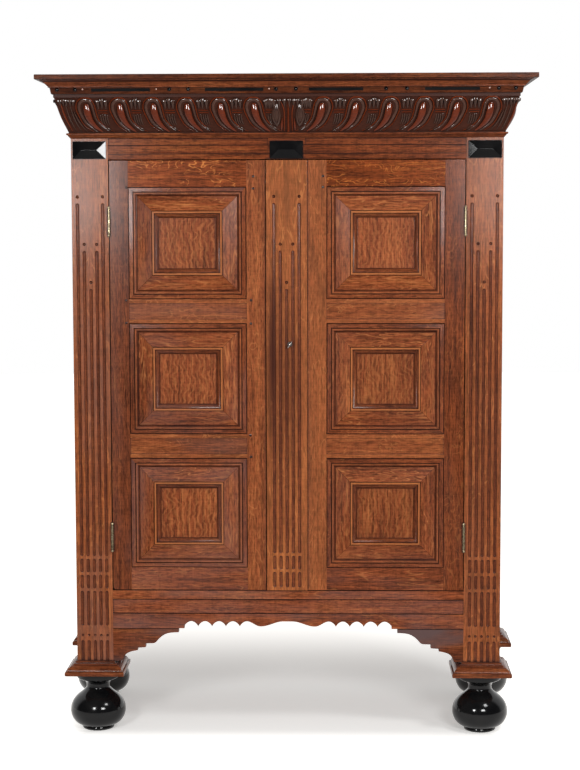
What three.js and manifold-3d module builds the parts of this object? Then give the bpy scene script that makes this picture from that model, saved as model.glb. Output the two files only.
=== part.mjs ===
// A two-door kas: an oak cupboard with a carved cornice, framed doors, ebony inlays and ball feet.
// Millimetres, +Z up, the doors face -Y, and the origin is on the floor under the middle.
// Pieces are laid out in the case's own frame first: x 0 is the middle, y 0 the front face of
// the corner stiles and y bodyDepth the back, then one group moves them over the origin.
import * as THREE from 'three';
import { mergeVertices } from 'three/addons/utils/BufferGeometryUtils.js';
import Module from 'manifold-3d';

const wasm = await Module();
wasm.setup();

// Case
const bodyWidth = 1400;
const bodyDepth = 600;
const cornerStileWidth = 120;
const cornerStileDepth = 60;
const frontRailThickness = 25;
const sideThickness = 30;
const backThickness = 18;
const boardThickness = 20;

// Clearances: doorGap is the gap round each door, fitGap the slack of a tenon, tongue or pin,
// mitreGap that of a mitre, and cutOverrun how far a cutter runs past the face that it opens.
const doorGap = 3;
const fitGap = 0.3;
const mitreGap = 0.4;
const cutOverrun = 5;

// Ball feet. The profile holds shares of the ball's radius and of the foot's height.
const footHeight = 196;
const footBallRadius = 92;
const footSides = 20;
const footProfileShares = [
  [0.53, 0], [0.54, 0.045], [0.5, 0.06], [0.7, 0.08], [0.88, 0.15], [0.975, 0.24], [1, 0.33],
  [0.97, 0.43], [0.86, 0.54], [0.66, 0.62], [0.46, 0.675], [0.4, 0.715], [0.43, 0.735],
  [0.43, 0.775], [0.41, 0.79], [0.52, 0.815], [0.74, 0.88], [0.77, 1],
];

// Plinth blocks. The rings hold shares of the taper and of the block's height.
const plinthWidth = 196;
const plinthHeight = 46;
const plinthTaper = 32;
const rearPlinthSpread = 38;
const plinthRingShares = [[0.12, 0], [0, 0.08], [0, 0.3], [0.24, 0.46], [0.62, 0.62], [1, 1]];

// Base rail with its scalloped lower edge, and the brackets under its ends
const bracketHeight = 110;
const bracketWidth = 218;
const baseRailHeight = 127;
const baseBandTop = 28;
const baseBandHeight = 50;
const fasciaStep = 4;
const scallopGap = 19;
const scallopStep = 10;
const scallopRise = 17;
const scallopCount = 4;
const scallopCusp = 7;
const waveStartX = 136;
const waveLowX = 90;
const waveCrestX = 14;
const curveSteps = 6;
const bracketProfileShares = [
  [0.142, 0], [0.16, 0.1], [0.19, 0.2], [0.229, 0.257], [0.3, 0.3], [0.372, 0.327], [0.372, 0.398],
  [0.495, 0.416], [0.495, 0.531], [0.628, 0.54], [0.69, 0.66], [0.75, 0.77], [0.8, 0.83],
  [0.844, 0.86], [1, 0.876], [1, 1],
];

// Frieze rail and its ebony blocks
const friezeRailHeight = 68;
const friezeStep = 2;
const ebonyWidth = 107;
const ebonyHeight = 56;
const ebonyRise = 13;
const ebonyEdge = 3.25;
const ebonyFootGap = 2.5;
const ebonyPadBorder = 6;

// Doors
const doorThickness = 36;
const leftDoorStile = 61;
const rightDoorStile = 64;
const doorTopRail = 85.5;
const doorMiddleRail = 79;
const doorBottomRail = 75;
const railStripWidth = 13;
const railBandDepth = 2.5;
const panelHeight = 364;
const panelRows = 3;
const railTenonLength = 30;
const railTenonThickness = 12;
const railTenonShoulder = 9;
const tongueLength = 8;
const tongueThickness = 8;
const tongueSetback = 12;
const panelBack = 28;

// Panel relief from the frame inwards, with rises over the door's face. The shares are of the
// outer moulding's width and rise.
const outerMouldingWidth = 29;
const outerMouldingRise = 8;
const outerMouldingShares = [[0, 0.25], [0.1, 1], [0.33, 1], [0.75, 0.25], [1, -0.25]];
const bevelWidth = 46;
const bevelRise = 14;
const filletWidth = 11;
const filletRise = 17;
const innerMouldingWidth = 17;
const fieldRise = 4;
const grooveDepth = 2;

// Fluted pilasters. Flute tops are measured down from the top of the frieze rail.
const pilasterWidth = 133;
const pilasterThickness = 8;
const pilasterShift = 1;
const flutePitch = 20.5;
const fluteWidth = 11;
const fluteDepth = 5;
const outerFluteDrop = 209;
const innerFluteDrop = 363;
const middleFluteDrop = 487;
const dotRise = 21;
const dotRadius = 3;
const dotDepth = 2;
const dotSides = 6;
const fluteBridge = 8;
const cornerBridgeRise = 351;
const centreBridgeRise = 124;
const bridgePitch = 54;
const cornerFluteEnd = 118;
const footFluteTop = 69;
const centreFluteEnd = 10;

// Carved frieze and crown of the cornice: heights from the top of the case upwards, and reaches
// out from the case's face.
const beadHeight = 18;
const beadReach = 13;
const beadRound = 4.5;
const friezeFootReach = 9;
const friezeHeight = 111;
const friezeTopReach = 48;
const recessHeight = 10;
const bandHeight = 21;
const bandReach = 54;
const bandLean = 4;
const ogeeHeight = 27;
const ogeeStep = 5;
const ogeeReach = 86;
const filletHeight = 12;
const crownReach = 101;
const ogeeShares = [[0, 0.06], [0.3, 0.24], [0.5, 0.56], [0.78, 0.72], [0.93, 0.84], [1, 1]];

// Carved lobes along the frieze. The gaps run from the case's edges to the nearest lobe's middle.
const lobeCornerGap = 46;
const sideLobeGap = 82;
const lobesPerHalf = 6;
const lobesPerSide = 5;
const lobeHalfWidth = 24;
const lobeHalfLength = 52;
const lobeRise = 11;
const lobeTilt = THREE.MathUtils.degToRad(24);

// Shelves, and the cleats that carry them
const shelfSetback = 10;
const cleatHeight = 30;
const cleatWidth = 20;
const cleatEndGap = 20;

// Side frames and back boards
const sideStileWidth = 62;
const sidePanelRecess = 9;
const backBottomDrop = 52;
const backBoards = 6;
const backGrooveWidth = 4;
const backGrooveDepth = 3;

// Hinges. The finial's shares are of its radius and its length.
const hingeLength = 100;
const hingeTopDrop = 197;
const hingeBottomRise = 176;
const hingeProud = 5;
const barrelRadius = 4.5;
const hingePinRadius = 2.2;
const finialRadius = 5;
const finialLength = 12;
const finialShares = [[0, 0], [0.7, 0.12], [1, 0.42], [0.7, 0.75]];
const finialNeckShare = 0.88;
const knuckleLength = 26;
const leafThickness = 1;
const leafDepth = 30;
const hingeSides = 10;

// Lock, its bolt and key
const keyHeight = 814;
const lockWidth = 126;
const lockDepth = 24;
const lockWall = 3;
const lockBelowKey = 26;
const lockSetback = 4;
const boltHeight = 16;
const boltThickness = 8;
const boltLength = 70;
const keyShankRadius = 3;
const keyHoleRadius = 3.7;
const keyBitReach = 12;
const keyBitThickness = 3;
const keyBitGap = 1.7;
const keyNeck = 6;
const keyCollarRadius = 4.2;
const bowHeight = 28;
const bowLength = 22;
const bowThickness = 4;
const bowBar = 5;
const keySides = 10;
const bowSides = 20;
const keyTilt = THREE.MathUtils.degToRad(31);

// Sliding bolt in the back of the left door
const slideLength = 188;
const slideInnerWidth = 16;
const slideOuterWidth = 11;
const slideThickness = 10;
const slideKnobRadius = 5;
const slideKnobLength = 10;
const slideKnobRise = 40;

// Levels that follow from the sizes above
const plinthTop = footHeight + plinthHeight;
const baseRailBottom = plinthTop + bracketHeight;
const baseRailTop = baseRailBottom + baseRailHeight;
const doorBottom = baseRailTop + doorGap;
const middleRails = panelRows - 1;
const doorHeight = doorTopRail + doorBottomRail + middleRails * doorMiddleRail + panelRows * panelHeight;
const doorTop = doorBottom + doorHeight;
const caseTop = doorTop + doorGap + friezeRailHeight;
const ceilingTop = caseTop + boardThickness;
const friezeFoot = caseTop + beadHeight;
const friezeTop = friezeFoot + friezeHeight;
const crownBottom = friezeTop + recessHeight;
const bandTop = crownBottom + bandHeight;
const ogeeTop = bandTop + ogeeHeight;
const kasTop = ogeeTop + filletHeight;

const halfBody = bodyWidth / 2;
const halfDoorway = halfBody - cornerStileWidth;
const sideInner = halfBody - sideThickness;
const cornerStileX = halfBody - cornerStileWidth / 2;
const plinthY = cornerStileWidth / 2;
const rearPlinthY = bodyDepth - plinthWidth / 2;
const doorEdge = halfDoorway - doorGap;
const pilasterX = -pilasterShift;
const rightDoorEdge = pilasterX - pilasterWidth / 2;
const leftDoorEdge = rightDoorEdge - doorGap;
const panelWidth = doorEdge + leftDoorEdge - 2 * leftDoorStile;
const hingeX = halfDoorway - doorGap / 2;
const backY = bodyDepth - backThickness;

// Solids

function toSolid(geometry) {
  const bare = geometry.clone();
  bare.deleteAttribute('normal');
  bare.deleteAttribute('uv');
  const merged = mergeVertices(bare);
  const vertProperties = new Float32Array(merged.attributes.position.array);
  const triVerts = new Uint32Array(merged.index.array);
  return new wasm.Manifold(new wasm.Mesh({ numProp: 3, vertProperties, triVerts }));
}

function toGeometry(solid) {
  const mesh = solid.getMesh();
  const geometry = new THREE.BufferGeometry();
  geometry.setAttribute('position', new THREE.BufferAttribute(mesh.vertProperties, 3));
  geometry.setIndex(new THREE.BufferAttribute(mesh.triVerts, 1));
  return geometry;
}

function joinAll(solids) {
  return solids.reduce((whole, next) => whole.add(next));
}

function cutAll(solid, cutters) {
  return cutters.reduce((rest, cutter) => rest.subtract(cutter), solid);
}

// A box between two values on each axis, which may be given in either order
function block(x, y, z) {
  const geometry = new THREE.BoxGeometry(
    Math.abs(x[1] - x[0]), Math.abs(y[1] - y[0]), Math.abs(z[1] - z[0]));
  geometry.translate((x[0] + x[1]) / 2, (y[0] + y[1]) / 2, (z[0] + z[1]) / 2);
  return toSolid(geometry);
}

// An outline swept straight along one axis, between two values on it
const sweeps = {
  x: new THREE.Matrix4().set(0, 0, 1, 0, 1, 0, 0, 0, 0, 1, 0, 0, 0, 0, 0, 1),
  y: new THREE.Matrix4().set(1, 0, 0, 0, 0, 0, -1, 0, 0, 1, 0, 0, 0, 0, 0, 1),
  z: new THREE.Matrix4(),
};

function sweepGeometry(outline, axis, from, to, hole) {
  const shape = new THREE.Shape(outline.map(([u, v]) => new THREE.Vector2(u, v)));
  if (hole) shape.holes.push(new THREE.Path(hole.map(([u, v]) => new THREE.Vector2(u, v))));
  const geometry = new THREE.ExtrudeGeometry(shape, { depth: to - from, bevelEnabled: false });
  geometry.applyMatrix4(sweeps[axis]);
  const start = { x: [from, 0, 0], y: [0, to, 0], z: [0, 0, from] }[axis];
  return geometry.translate(...start);
}

function sweep(outline, axis, from, to, hole) {
  return toSolid(sweepGeometry(outline, axis, from, to, hole));
}

// A skin through rectangles stacked upwards: each ring is half a width, half a depth and a height
function stackedRectangles(rings) {
  const corners = [[-1, -1], [1, -1], [1, 1], [-1, 1]];
  const positions = rings.flatMap(([halfX, halfY, z]) =>
    corners.flatMap(([sx, sy]) => [sx * halfX, sy * halfY, z]));
  const index = [0, 3, 2, 0, 2, 1];
  for (let ring = 0; ring < rings.length - 1; ring += 1) {
    const low = 4 * ring;
    const high = low + 4;
    for (let side = 0; side < 4; side += 1) {
      const next = (side + 1) % 4;
      index.push(low + side, low + next, high + next, low + side, high + next, high + side);
    }
  }
  const last = 4 * (rings.length - 1);
  index.push(last, last + 1, last + 2, last, last + 2, last + 3);
  const geometry = new THREE.BufferGeometry();
  geometry.setAttribute('position', new THREE.Float32BufferAttribute(positions, 3));
  geometry.setIndex(index);
  return geometry;
}

// A turned shape from radius and height pairs, about the vertical axis
function turned(profile, segments) {
  const points = profile.map(([radius, height]) => new THREE.Vector2(radius, height));
  return new THREE.LatheGeometry(points, segments).rotateX(Math.PI / 2);
}

function ellipse(radiusU, radiusV, segments) {
  return Array.from({ length: segments }, (_, i) => {
    const turn = (i / segments) * 2 * Math.PI;
    return [radiusU * Math.cos(turn), radiusV * Math.sin(turn)];
  });
}

function mirrored(points) {
  return points.map(([u, v]) => [-u, v]).reverse();
}

// Materials

function finish(color, roughness, metalness) {
  return new THREE.MeshStandardMaterial({ color, roughness, metalness });
}

const oak = finish(0x8c4a28, 0.45, 0);
const carvedOak = finish(0x6b3423, 0.38, 0);
const plainOak = finish(0x7d5236, 0.7, 0);
const ebony = finish(0x121214, 0.18, 0);
const brass = finish(0xb0a070, 0.32, 1);
const steel = finish(0xa8a6a0, 0.3, 1);
const iron = finish(0x4a4744, 0.5, 1);

function piece(name, geometry, material, x = 0, y = 0, z = 0) {
  const mesh = new THREE.Mesh(geometry, material);
  mesh.name = name;
  mesh.position.set(x, y, z);
  return mesh;
}

const kas = new THREE.Group();
kas.position.y = (crownReach - bodyDepth) / 2;

const corners = [
  ['front_left', -1, 0], ['front_right', 1, 0], ['rear_left', -1, 1], ['rear_right', 1, 1],
];
const sides = [['left', -1], ['right', 1]];

function plinthPlace(side, rear) {
  return [side * (cornerStileX + rear * rearPlinthSpread), rear ? rearPlinthY : plinthY];
}

// Feet and plinth blocks

function footGeometry() {
  const profile = footProfileShares.map(([r, h]) => [r * footBallRadius, h * footHeight]);
  return turned([[0, 0], ...profile, [0, footHeight]], footSides);
}

function plinthGeometry() {
  return stackedRectangles(plinthRingShares.map(([inset, height]) => {
    const half = plinthWidth / 2 - inset * plinthTaper;
    return [half, half, height * plinthHeight];
  }));
}

for (const [corner, side, rear] of corners) {
  const [x, y] = plinthPlace(side, rear);
  kas.add(piece(`foot_${corner}`, footGeometry(), ebony, x, y, 0));
  kas.add(piece(`plinth_block_${corner}`, plinthGeometry(), oak, x, y, footHeight));
}

// Flutes

function fluteCutter(x, faceY, bottom, top) {
  const half = fluteWidth / 2;
  return sweep([
    [x - half, faceY - cutOverrun], [x + half, faceY - cutOverrun], [x + half, faceY],
    [x + half / 2, faceY + fluteDepth], [x - half / 2, faceY + fluteDepth], [x - half, faceY],
  ], 'z', bottom, top);
}

function dotCutter(x, faceY, z) {
  const dot = ellipse(dotRadius, dotRadius, dotSides).map(([u, v]) => [x + u, z + v]);
  return sweep(dot, 'y', faceY - cutOverrun, faceY + dotDepth);
}

// Five flutes about centreX: stepped tops with a dot over each, and bridges left across the lower
// part. Each stop is where a bridge or the end of the flutes begins, from the top down.
function fluteCutters(centreX, faceY, stops, end) {
  const drops = [outerFluteDrop, innerFluteDrop, middleFluteDrop, innerFluteDrop, outerFluteDrop];
  return drops.flatMap((drop, i) => {
    const x = centreX + (i - 2) * flutePitch;
    const tops = [caseTop - drop, ...stops.map((stop) => stop - fluteBridge)];
    const bottoms = [...stops, end];
    const runs = tops.map((top, run) => fluteCutter(x, faceY, bottoms[run], top));
    return [dotCutter(x, faceY, caseTop - drop + dotRise), ...runs];
  });
}

// Corner stiles

function cornerStileGeometry(side) {
  const x = side * cornerStileX;
  const body = block(
    [side * halfDoorway, side * halfBody], [0, cornerStileDepth], [plinthTop, caseTop]);
  const firstStop = plinthTop + cornerBridgeRise;
  const stops = [firstStop, firstStop - bridgePitch, firstStop - 2 * bridgePitch];
  const footFlutes = [-2, -1, 0, 1, 2].map((i) =>
    fluteCutter(x + i * flutePitch, 0, plinthTop - cutOverrun, plinthTop + footFluteTop));
  return toGeometry(cutAll(body, [
    ...fluteCutters(x, 0, stops, plinthTop + cornerFluteEnd),
    ...footFlutes,
    caseTenon(side, caseTop - friezeRailHeight, caseTop, fitGap),
    caseTenon(side, baseRailBottom, baseRailTop, fitGap),
  ]));
}

// The tenon of a front rail, or with some slack the mortise for it in the corner stile
function caseTenon(side, railBottom, railTop, slack) {
  const tenonLength = frontRailThickness;
  const start = slack ? halfDoorway - cutOverrun : halfDoorway - tenonLength;
  const middle = frontRailThickness / 2;
  const half = railTenonThickness / 2 + slack;
  const shoulder = railTenonShoulder - slack;
  return block(
    [side * start, side * (halfDoorway + tenonLength + slack)], [middle - half, middle + half],
    [railBottom + shoulder, railTop - shoulder]);
}

for (const [name, side] of sides) {
  kas.add(piece(`corner_stile_${name}`, cornerStileGeometry(side), oak));
}

// Front rails of the case

// The centre ebony block sits on a flat pad, and the stepped fascias stop against the pad.
function friezeRailGeometry() {
  const third = friezeRailHeight / 3;
  const bottom = caseTop - friezeRailHeight;
  const padHalf = ebonyWidth / 2 + ebonyPadBorder;
  const section = [
    [frontRailThickness, bottom], [0, bottom], [0, bottom + third], [friezeStep, bottom + third],
    [friezeStep, bottom + 2 * third], [2 * friezeStep, bottom + 2 * third],
    [2 * friezeStep, caseTop], [frontRailThickness, caseTop],
  ];
  const body = sweep(section, 'x', -halfDoorway, halfDoorway);
  const pad = block(
    [pilasterX - padHalf, pilasterX + padHalf], [0, frontRailThickness], [bottom, caseTop]);
  const tenons = sides.map(([, side]) => caseTenon(side, bottom, caseTop, 0));
  return toGeometry(joinAll([body, pad, ...tenons]));
}

// The right half of the base rail's lower edge, from the bracket to the middle
function scallopEdge() {
  const cusp = baseRailBottom + scallopCusp;
  const bracketEnd = halfDoorway - bracketWidth;
  const scallopStart = bracketEnd - scallopGap;
  const scallopPitch = (scallopStart - waveStartX) / (scallopCount + 1 / 2);
  const edge = [[bracketEnd, baseRailBottom], [scallopStart, baseRailBottom]];
  edge.push([scallopStart, baseRailBottom + scallopStep]);
  for (let scallop = 0; scallop < scallopCount; scallop += 1) {
    const start = scallopStart - scallop * scallopPitch;
    for (let step = 1; step <= curveSteps; step += 1) {
      const share = step / curveSteps;
      edge.push([start - share * scallopPitch, cusp + scallopRise * Math.sin(Math.PI * share)]);
    }
  }
  const lastCusp = scallopStart - scallopCount * scallopPitch;
  for (let step = 1; step <= curveSteps / 2; step += 1) {
    const share = step / curveSteps;
    edge.push([lastCusp - share * scallopPitch, cusp + scallopRise * Math.sin(Math.PI * share)]);
  }
  for (const [from, to, start, end] of [[waveStartX, waveLowX, 1, 0], [waveLowX, waveCrestX, 0, 1]]) {
    for (let step = 1; step <= curveSteps; step += 1) {
      const share = step / curveSteps;
      const ease = (1 - Math.cos(Math.PI * share)) / 2;
      const level = start + (end - start) * ease;
      edge.push([from + (to - from) * share, cusp + level * scallopRise]);
    }
  }
  return edge;
}

function baseRailGeometry() {
  const half = scallopEdge();
  const outline = [
    [halfDoorway, baseRailTop], [halfDoorway, baseRailBottom], ...half, ...mirrored(half),
    [-halfDoorway, baseRailBottom], [-halfDoorway, baseRailTop],
  ];
  const board = sweep(outline, 'y', 0, frontRailThickness);
  const band = block(
    [-halfDoorway - cutOverrun, halfDoorway + cutOverrun], [-cutOverrun, fasciaStep],
    [baseRailTop - baseBandTop - baseBandHeight, baseRailTop - baseBandTop]);
  const tenons = sides.map(([, side]) => caseTenon(side, baseRailBottom, baseRailTop, 0));
  return toGeometry(joinAll([board.subtract(band), ...tenons]));
}

function bracketGeometry(side) {
  const edge = bracketProfileShares.map(([u, v]) =>
    [halfDoorway - u * bracketWidth, plinthTop + v * bracketHeight]);
  const outline = [[halfDoorway, baseRailBottom], [halfDoorway, plinthTop], ...edge];
  return sweepGeometry(side > 0 ? outline : mirrored(outline), 'y', 0, frontRailThickness);
}

kas.add(piece('frieze_rail', friezeRailGeometry(), oak));
kas.add(piece('base_rail', baseRailGeometry(), oak));
for (const [name, side] of sides) {
  kas.add(piece(`bracket_${name}`, bracketGeometry(side), oak));
}

// Ebony blocks with a hipped face, whose long edges rise to a level ridge

function ebonyGeometry() {
  const ridge = ebonyWidth / 2 - ebonyHeight / 2;
  const halfX = ebonyWidth / 2;
  const halfZ = ebonyHeight / 2;
  const solid = stackedRectangles([
    [halfX, halfZ, 0], [halfX, halfZ, ebonyEdge], [ridge + ebonyEdge, ebonyEdge, ebonyRise],
  ]);
  return solid.rotateX(Math.PI / 2);
}

const ebonyZ = caseTop - friezeRailHeight + ebonyFootGap + ebonyHeight / 2;
for (const [name, x] of [['left', -cornerStileX], ['centre', pilasterX], ['right', cornerStileX]]) {
  kas.add(piece(`ebony_block_${name}`, ebonyGeometry(), ebony, x, 0, ebonyZ));
}

// Shelves, floor, ceiling, back and sides

function railTop(row) {
  return doorBottom + doorBottomRail + row * (panelHeight + doorMiddleRail) - doorMiddleRail;
}

const shelfLevels = [railTop(1) + doorMiddleRail / 2, railTop(2) + doorMiddleRail / 2];

function floorGeometry() {
  const half = [
    [halfDoorway, frontRailThickness], [halfDoorway, cornerStileDepth],
    [sideInner, cornerStileDepth], [sideInner, backY],
  ];
  return sweepGeometry([...half, ...mirrored(half)], 'z', baseRailTop - boardThickness, baseRailTop);
}

function shelfGeometry(level) {
  return toGeometry(block(
    [-sideInner, sideInner], [cornerStileDepth + shelfSetback, backY],
    [level - boardThickness, level]));
}

// The back boards run up behind the ceiling, where they widen to close the back of the cornice.
function backGeometry() {
  const lower = block(
    [-sideInner, sideInner], [backY, bodyDepth], [baseRailBottom - backBottomDrop, caseTop]);
  const upper = block([-halfBody, halfBody], [backY, bodyDepth], [caseTop, kasTop - boardThickness]);
  const boardWidth = (2 * sideInner) / backBoards;
  const grooves = Array.from({ length: backBoards - 1 }, (_, i) => {
    const x = -sideInner + (i + 1) * boardWidth;
    return block(
      [x - backGrooveWidth / 2, x + backGrooveWidth / 2],
      [bodyDepth - backGrooveDepth, bodyDepth + cutOverrun],
      [baseRailBottom - backBottomDrop - cutOverrun, kasTop]);
  });
  return toGeometry(cutAll(lower.add(upper), grooves));
}

// Each side is a frame with three sunk panels outside and the shelf cleats inside.
function sideGeometry(side) {
  const frame = block(
    [side * sideInner, side * halfBody], [cornerStileDepth, bodyDepth], [plinthTop, caseTop]);
  const recesses = Array.from({ length: panelRows }, (_, row) => {
    const bottom = railTop(row) + doorMiddleRail;
    return block(
      [side * (halfBody - sidePanelRecess), side * (halfBody + cutOverrun)],
      [cornerStileDepth + sideStileWidth, bodyDepth - sideStileWidth],
      [bottom, bottom + panelHeight]);
  });
  const cleats = [baseRailTop, ...shelfLevels].map((level) => block(
    [side * (sideInner - cleatWidth), side * (sideInner + cleatWidth / 2)],
    [cornerStileDepth + cleatEndGap, backY - cleatEndGap],
    [level - boardThickness - cleatHeight, level - boardThickness]));
  return toGeometry(joinAll([cutAll(frame, recesses), ...cleats]));
}

kas.add(piece('floor_board', floorGeometry(), plainOak));
kas.add(piece('shelf_lower', shelfGeometry(shelfLevels[0]), plainOak));
kas.add(piece('shelf_upper', shelfGeometry(shelfLevels[1]), plainOak));
kas.add(piece('back_boards', backGeometry(), plainOak));
kas.add(piece('ceiling_board', toGeometry(block(
  [-halfBody, halfBody], [0, backY], [caseTop, ceilingTop])), plainOak));
for (const [name, side] of sides) {
  kas.add(piece(`side_frame_${name}`, sideGeometry(side), oak));
}

// Cornice: each section is a list of reaches and heights, with its back on the case's face

const friezeFace = [
  [beadReach - 2 * beadRound, caseTop], [beadReach, caseTop + beadRound],
  [beadReach, friezeFoot - beadRound], [friezeFootReach, friezeFoot],
  [friezeTopReach, friezeTop], [friezeTopReach, crownBottom],
];
const ogeeFoot = bandReach + bandLean + ogeeStep;
const crownFace = [
  [bandReach, crownBottom], [bandReach + bandLean, bandTop],
  ...ogeeShares.map(([u, v]) =>
    [ogeeFoot + u * (ogeeReach - ogeeFoot), bandTop + v * ogeeHeight]),
  [crownReach, ogeeTop], [crownReach, kasTop],
];

function closedSection(face) {
  return [[0, face[0][1]], ...face, [0, face[face.length - 1][1]]];
}

// A moulding across the front, whose ends follow the mitres
function frontMoulding(face) {
  const section = closedSection(face).map(([reach, z]) => [-reach, z]);
  const geometry = sweepGeometry(section, 'x', -halfBody, halfBody);
  const place = geometry.attributes.position;
  for (let i = 0; i < place.count; i += 1) {
    place.setX(i, Math.sign(place.getX(i)) * (halfBody - place.getY(i) - mitreGap));
  }
  return geometry;
}

// A moulding along one side, mitred at the front and cut square at the back
function sideMoulding(face, side) {
  const section = closedSection(face).map(([reach, z]) => [side * (halfBody + reach), z]);
  const geometry = sweepGeometry(section, 'y', 0, bodyDepth);
  const place = geometry.attributes.position;
  for (let i = 0; i < place.count; i += 1) {
    if (place.getY(i) < bodyDepth / 2) place.setY(i, halfBody - Math.abs(place.getX(i)));
  }
  return geometry;
}

// One carved lobe, lying on the sloped face of the front frieze at x and leaning by tilt
function lobe(x, tilt) {
  const slope = Math.atan2(friezeTopReach - friezeFootReach, friezeHeight);
  const geometry = new THREE.IcosahedronGeometry(1, 1);
  geometry.scale(lobeHalfWidth, lobeRise, lobeHalfLength);
  geometry.rotateY(tilt);
  geometry.rotateX(slope);
  return geometry.translate(x, -(friezeTopReach + friezeFootReach) / 2, friezeFoot + friezeHeight / 2);
}

function friezeFrontGeometry() {
  const lobePitch = (halfBody - lobeCornerGap) / lobesPerHalf;
  const lobes = sides.flatMap(([, side]) => Array.from({ length: lobesPerHalf }, (_, i) =>
    toSolid(lobe(side * (i + 1) * lobePitch, side * lobeTilt))));
  return toGeometry(joinAll([toSolid(frontMoulding(friezeFace)), ...lobes]));
}

function returnGeometry(side) {
  const body = toSolid(sideMoulding([...friezeFace, ...crownFace], side));
  const lobePitch = (bodyDepth - 2 * sideLobeGap) / (lobesPerSide - 1);
  const lobes = Array.from({ length: lobesPerSide }, (_, i) => {
    const along = sideLobeGap + i * lobePitch;
    const turnedLobe = lobe(0, -side * lobeTilt).rotateZ(side * Math.PI / 2);
    return toSolid(turnedLobe.translate(side * halfBody, along, 0));
  });
  return toGeometry(joinAll([body, ...lobes]));
}

kas.add(piece('frieze_front', friezeFrontGeometry(), carvedOak));
kas.add(piece('crown_front', frontMoulding(crownFace), oak));
for (const [name, side] of sides) {
  kas.add(piece(`cornice_return_${name}`, returnGeometry(side), carvedOak));
}
kas.add(piece('cornice_lid', toGeometry(block(
  [-halfBody, halfBody], [0, bodyDepth], [kasTop - boardThickness, kasTop])), plainOak));

// Doors

// Where the rails of a door lie, from the bottom up: a name, a bottom and a top
const doorRails = [
  ['bottom_rail', doorBottom, doorBottom + doorBottomRail],
  ['lower_rail', railTop(1), railTop(1) + doorMiddleRail],
  ['upper_rail', railTop(2), railTop(2) + doorMiddleRail],
  ['top_rail', doorTop - doorTopRail, doorTop],
];
const panelNames = ['lower_panel', 'middle_panel', 'upper_panel'];

function tenonBlock(edge, outward, bottom, top, slack) {
  const shoulder = railTenonShoulder - slack;
  const half = railTenonThickness / 2 + slack;
  const middle = doorThickness / 2;
  const inside = slack ? cutOverrun : railTenonLength;
  return block(
    [edge - outward * inside, edge + outward * (railTenonLength + slack)],
    [middle - half, middle + half], [bottom + shoulder, top - shoulder]);
}

// The groove that takes a panel's tongue, along an edge of a stile or a rail
function grooveBlock(x, z) {
  return block(x, [tongueSetback - fitGap, tongueSetback + tongueThickness + fitGap], z);
}

const grooveReach = tongueLength + fitGap;

// A stile between two values of x, with a groove and mortises in the edge that faces the panels
function doorStile(x, innerEdge, outward) {
  const body = block(x, [0, doorThickness], [doorBottom, doorTop]);
  const groove = grooveBlock(
    [innerEdge - outward * cutOverrun, innerEdge + outward * grooveReach],
    [doorBottom + doorBottomRail - grooveReach, doorTop - doorTopRail + grooveReach]);
  const mortises = doorRails.map(([, bottom, top]) =>
    tenonBlock(innerEdge, outward, bottom, top, fitGap));
  return cutAll(body, [groove, ...mortises]);
}

// A rail is grooved where it meets a panel, and one between two panels has a sunk band in front.
function doorRail(left, right, bottom, top) {
  const body = block([left, right], [0, doorThickness], [bottom, top]);
  const across = [left - cutOverrun, right + cutOverrun];
  const panelBelow = bottom > doorBottom;
  const panelAbove = top < doorTop;
  const cuts = [];
  if (panelBelow) cuts.push(grooveBlock(across, [bottom - cutOverrun, bottom + grooveReach]));
  if (panelAbove) cuts.push(grooveBlock(across, [top - grooveReach, top + cutOverrun]));
  if (panelBelow && panelAbove) {
    cuts.push(block(across, [-cutOverrun, railBandDepth], [bottom + railStripWidth, top - railStripWidth]));
  }
  return joinAll([
    cutAll(body, cuts), tenonBlock(left, -1, bottom, top, 0), tenonBlock(right, 1, bottom, top, 0),
  ]);
}

// A panel with its tongue and its mitred mouldings, as rings of an inset and a level above the
// door's face
function panelGeometry() {
  const bevelStart = outerMouldingWidth + grooveDepth;
  const bevelEnd = outerMouldingWidth + bevelWidth;
  const filletEnd = bevelEnd + filletWidth;
  const fieldStart = filletEnd + innerMouldingWidth;
  const rings = [
    [0, -panelBack], [0, -tongueSetback - tongueThickness],
    [-tongueLength, -tongueSetback - tongueThickness], [-tongueLength, -tongueSetback],
    [0, -tongueSetback],
    ...outerMouldingShares.map(([u, v]) => [u * outerMouldingWidth, v * outerMouldingRise]),
    [bevelStart, grooveDepth], [bevelEnd, bevelRise], [bevelEnd + grooveDepth, filletRise],
    [filletEnd, filletRise], [filletEnd + grooveDepth, bevelRise - grooveDepth],
    [fieldStart - fieldRise, bevelRise - 2 * grooveDepth], [fieldStart, fieldRise],
  ];
  const skin = stackedRectangles(rings.map(([inset, level]) =>
    [panelWidth / 2 - inset, panelHeight / 2 - inset, level]));
  return skin.rotateX(Math.PI / 2);
}

const keyX = pilasterX + flutePitch / 2;
const keyZ = doorBottom + keyHeight;

function keyHoleCutter() {
  const hole = ellipse(keyHoleRadius, keyHoleRadius, keySides).map(([u, v]) => [keyX + u, keyZ + v]);
  return sweep(hole, 'y', -pilasterThickness - cutOverrun, doorThickness + cutOverrun);
}

// The dovetailed bar of the left door's bolt, or with some slack the channel for it
function slideBar(x, bottom, top, slack) {
  const inner = slideInnerWidth / 2 + slack;
  const outer = slideOuterWidth / 2 + slack;
  const front = doorThickness - slideThickness;
  const mouth = doorThickness + cutOverrun;
  const outline = [[-inner, front], [inner, front], [outer, doorThickness]];
  if (slack) outline.push([outer, mouth], [-outer, mouth]);
  outline.push([-outer, doorThickness]);
  return sweep(outline.map(([u, v]) => [x + u, v]), 'z', bottom, top);
}

const slideX = leftDoorEdge - leftDoorStile / 2;

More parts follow.
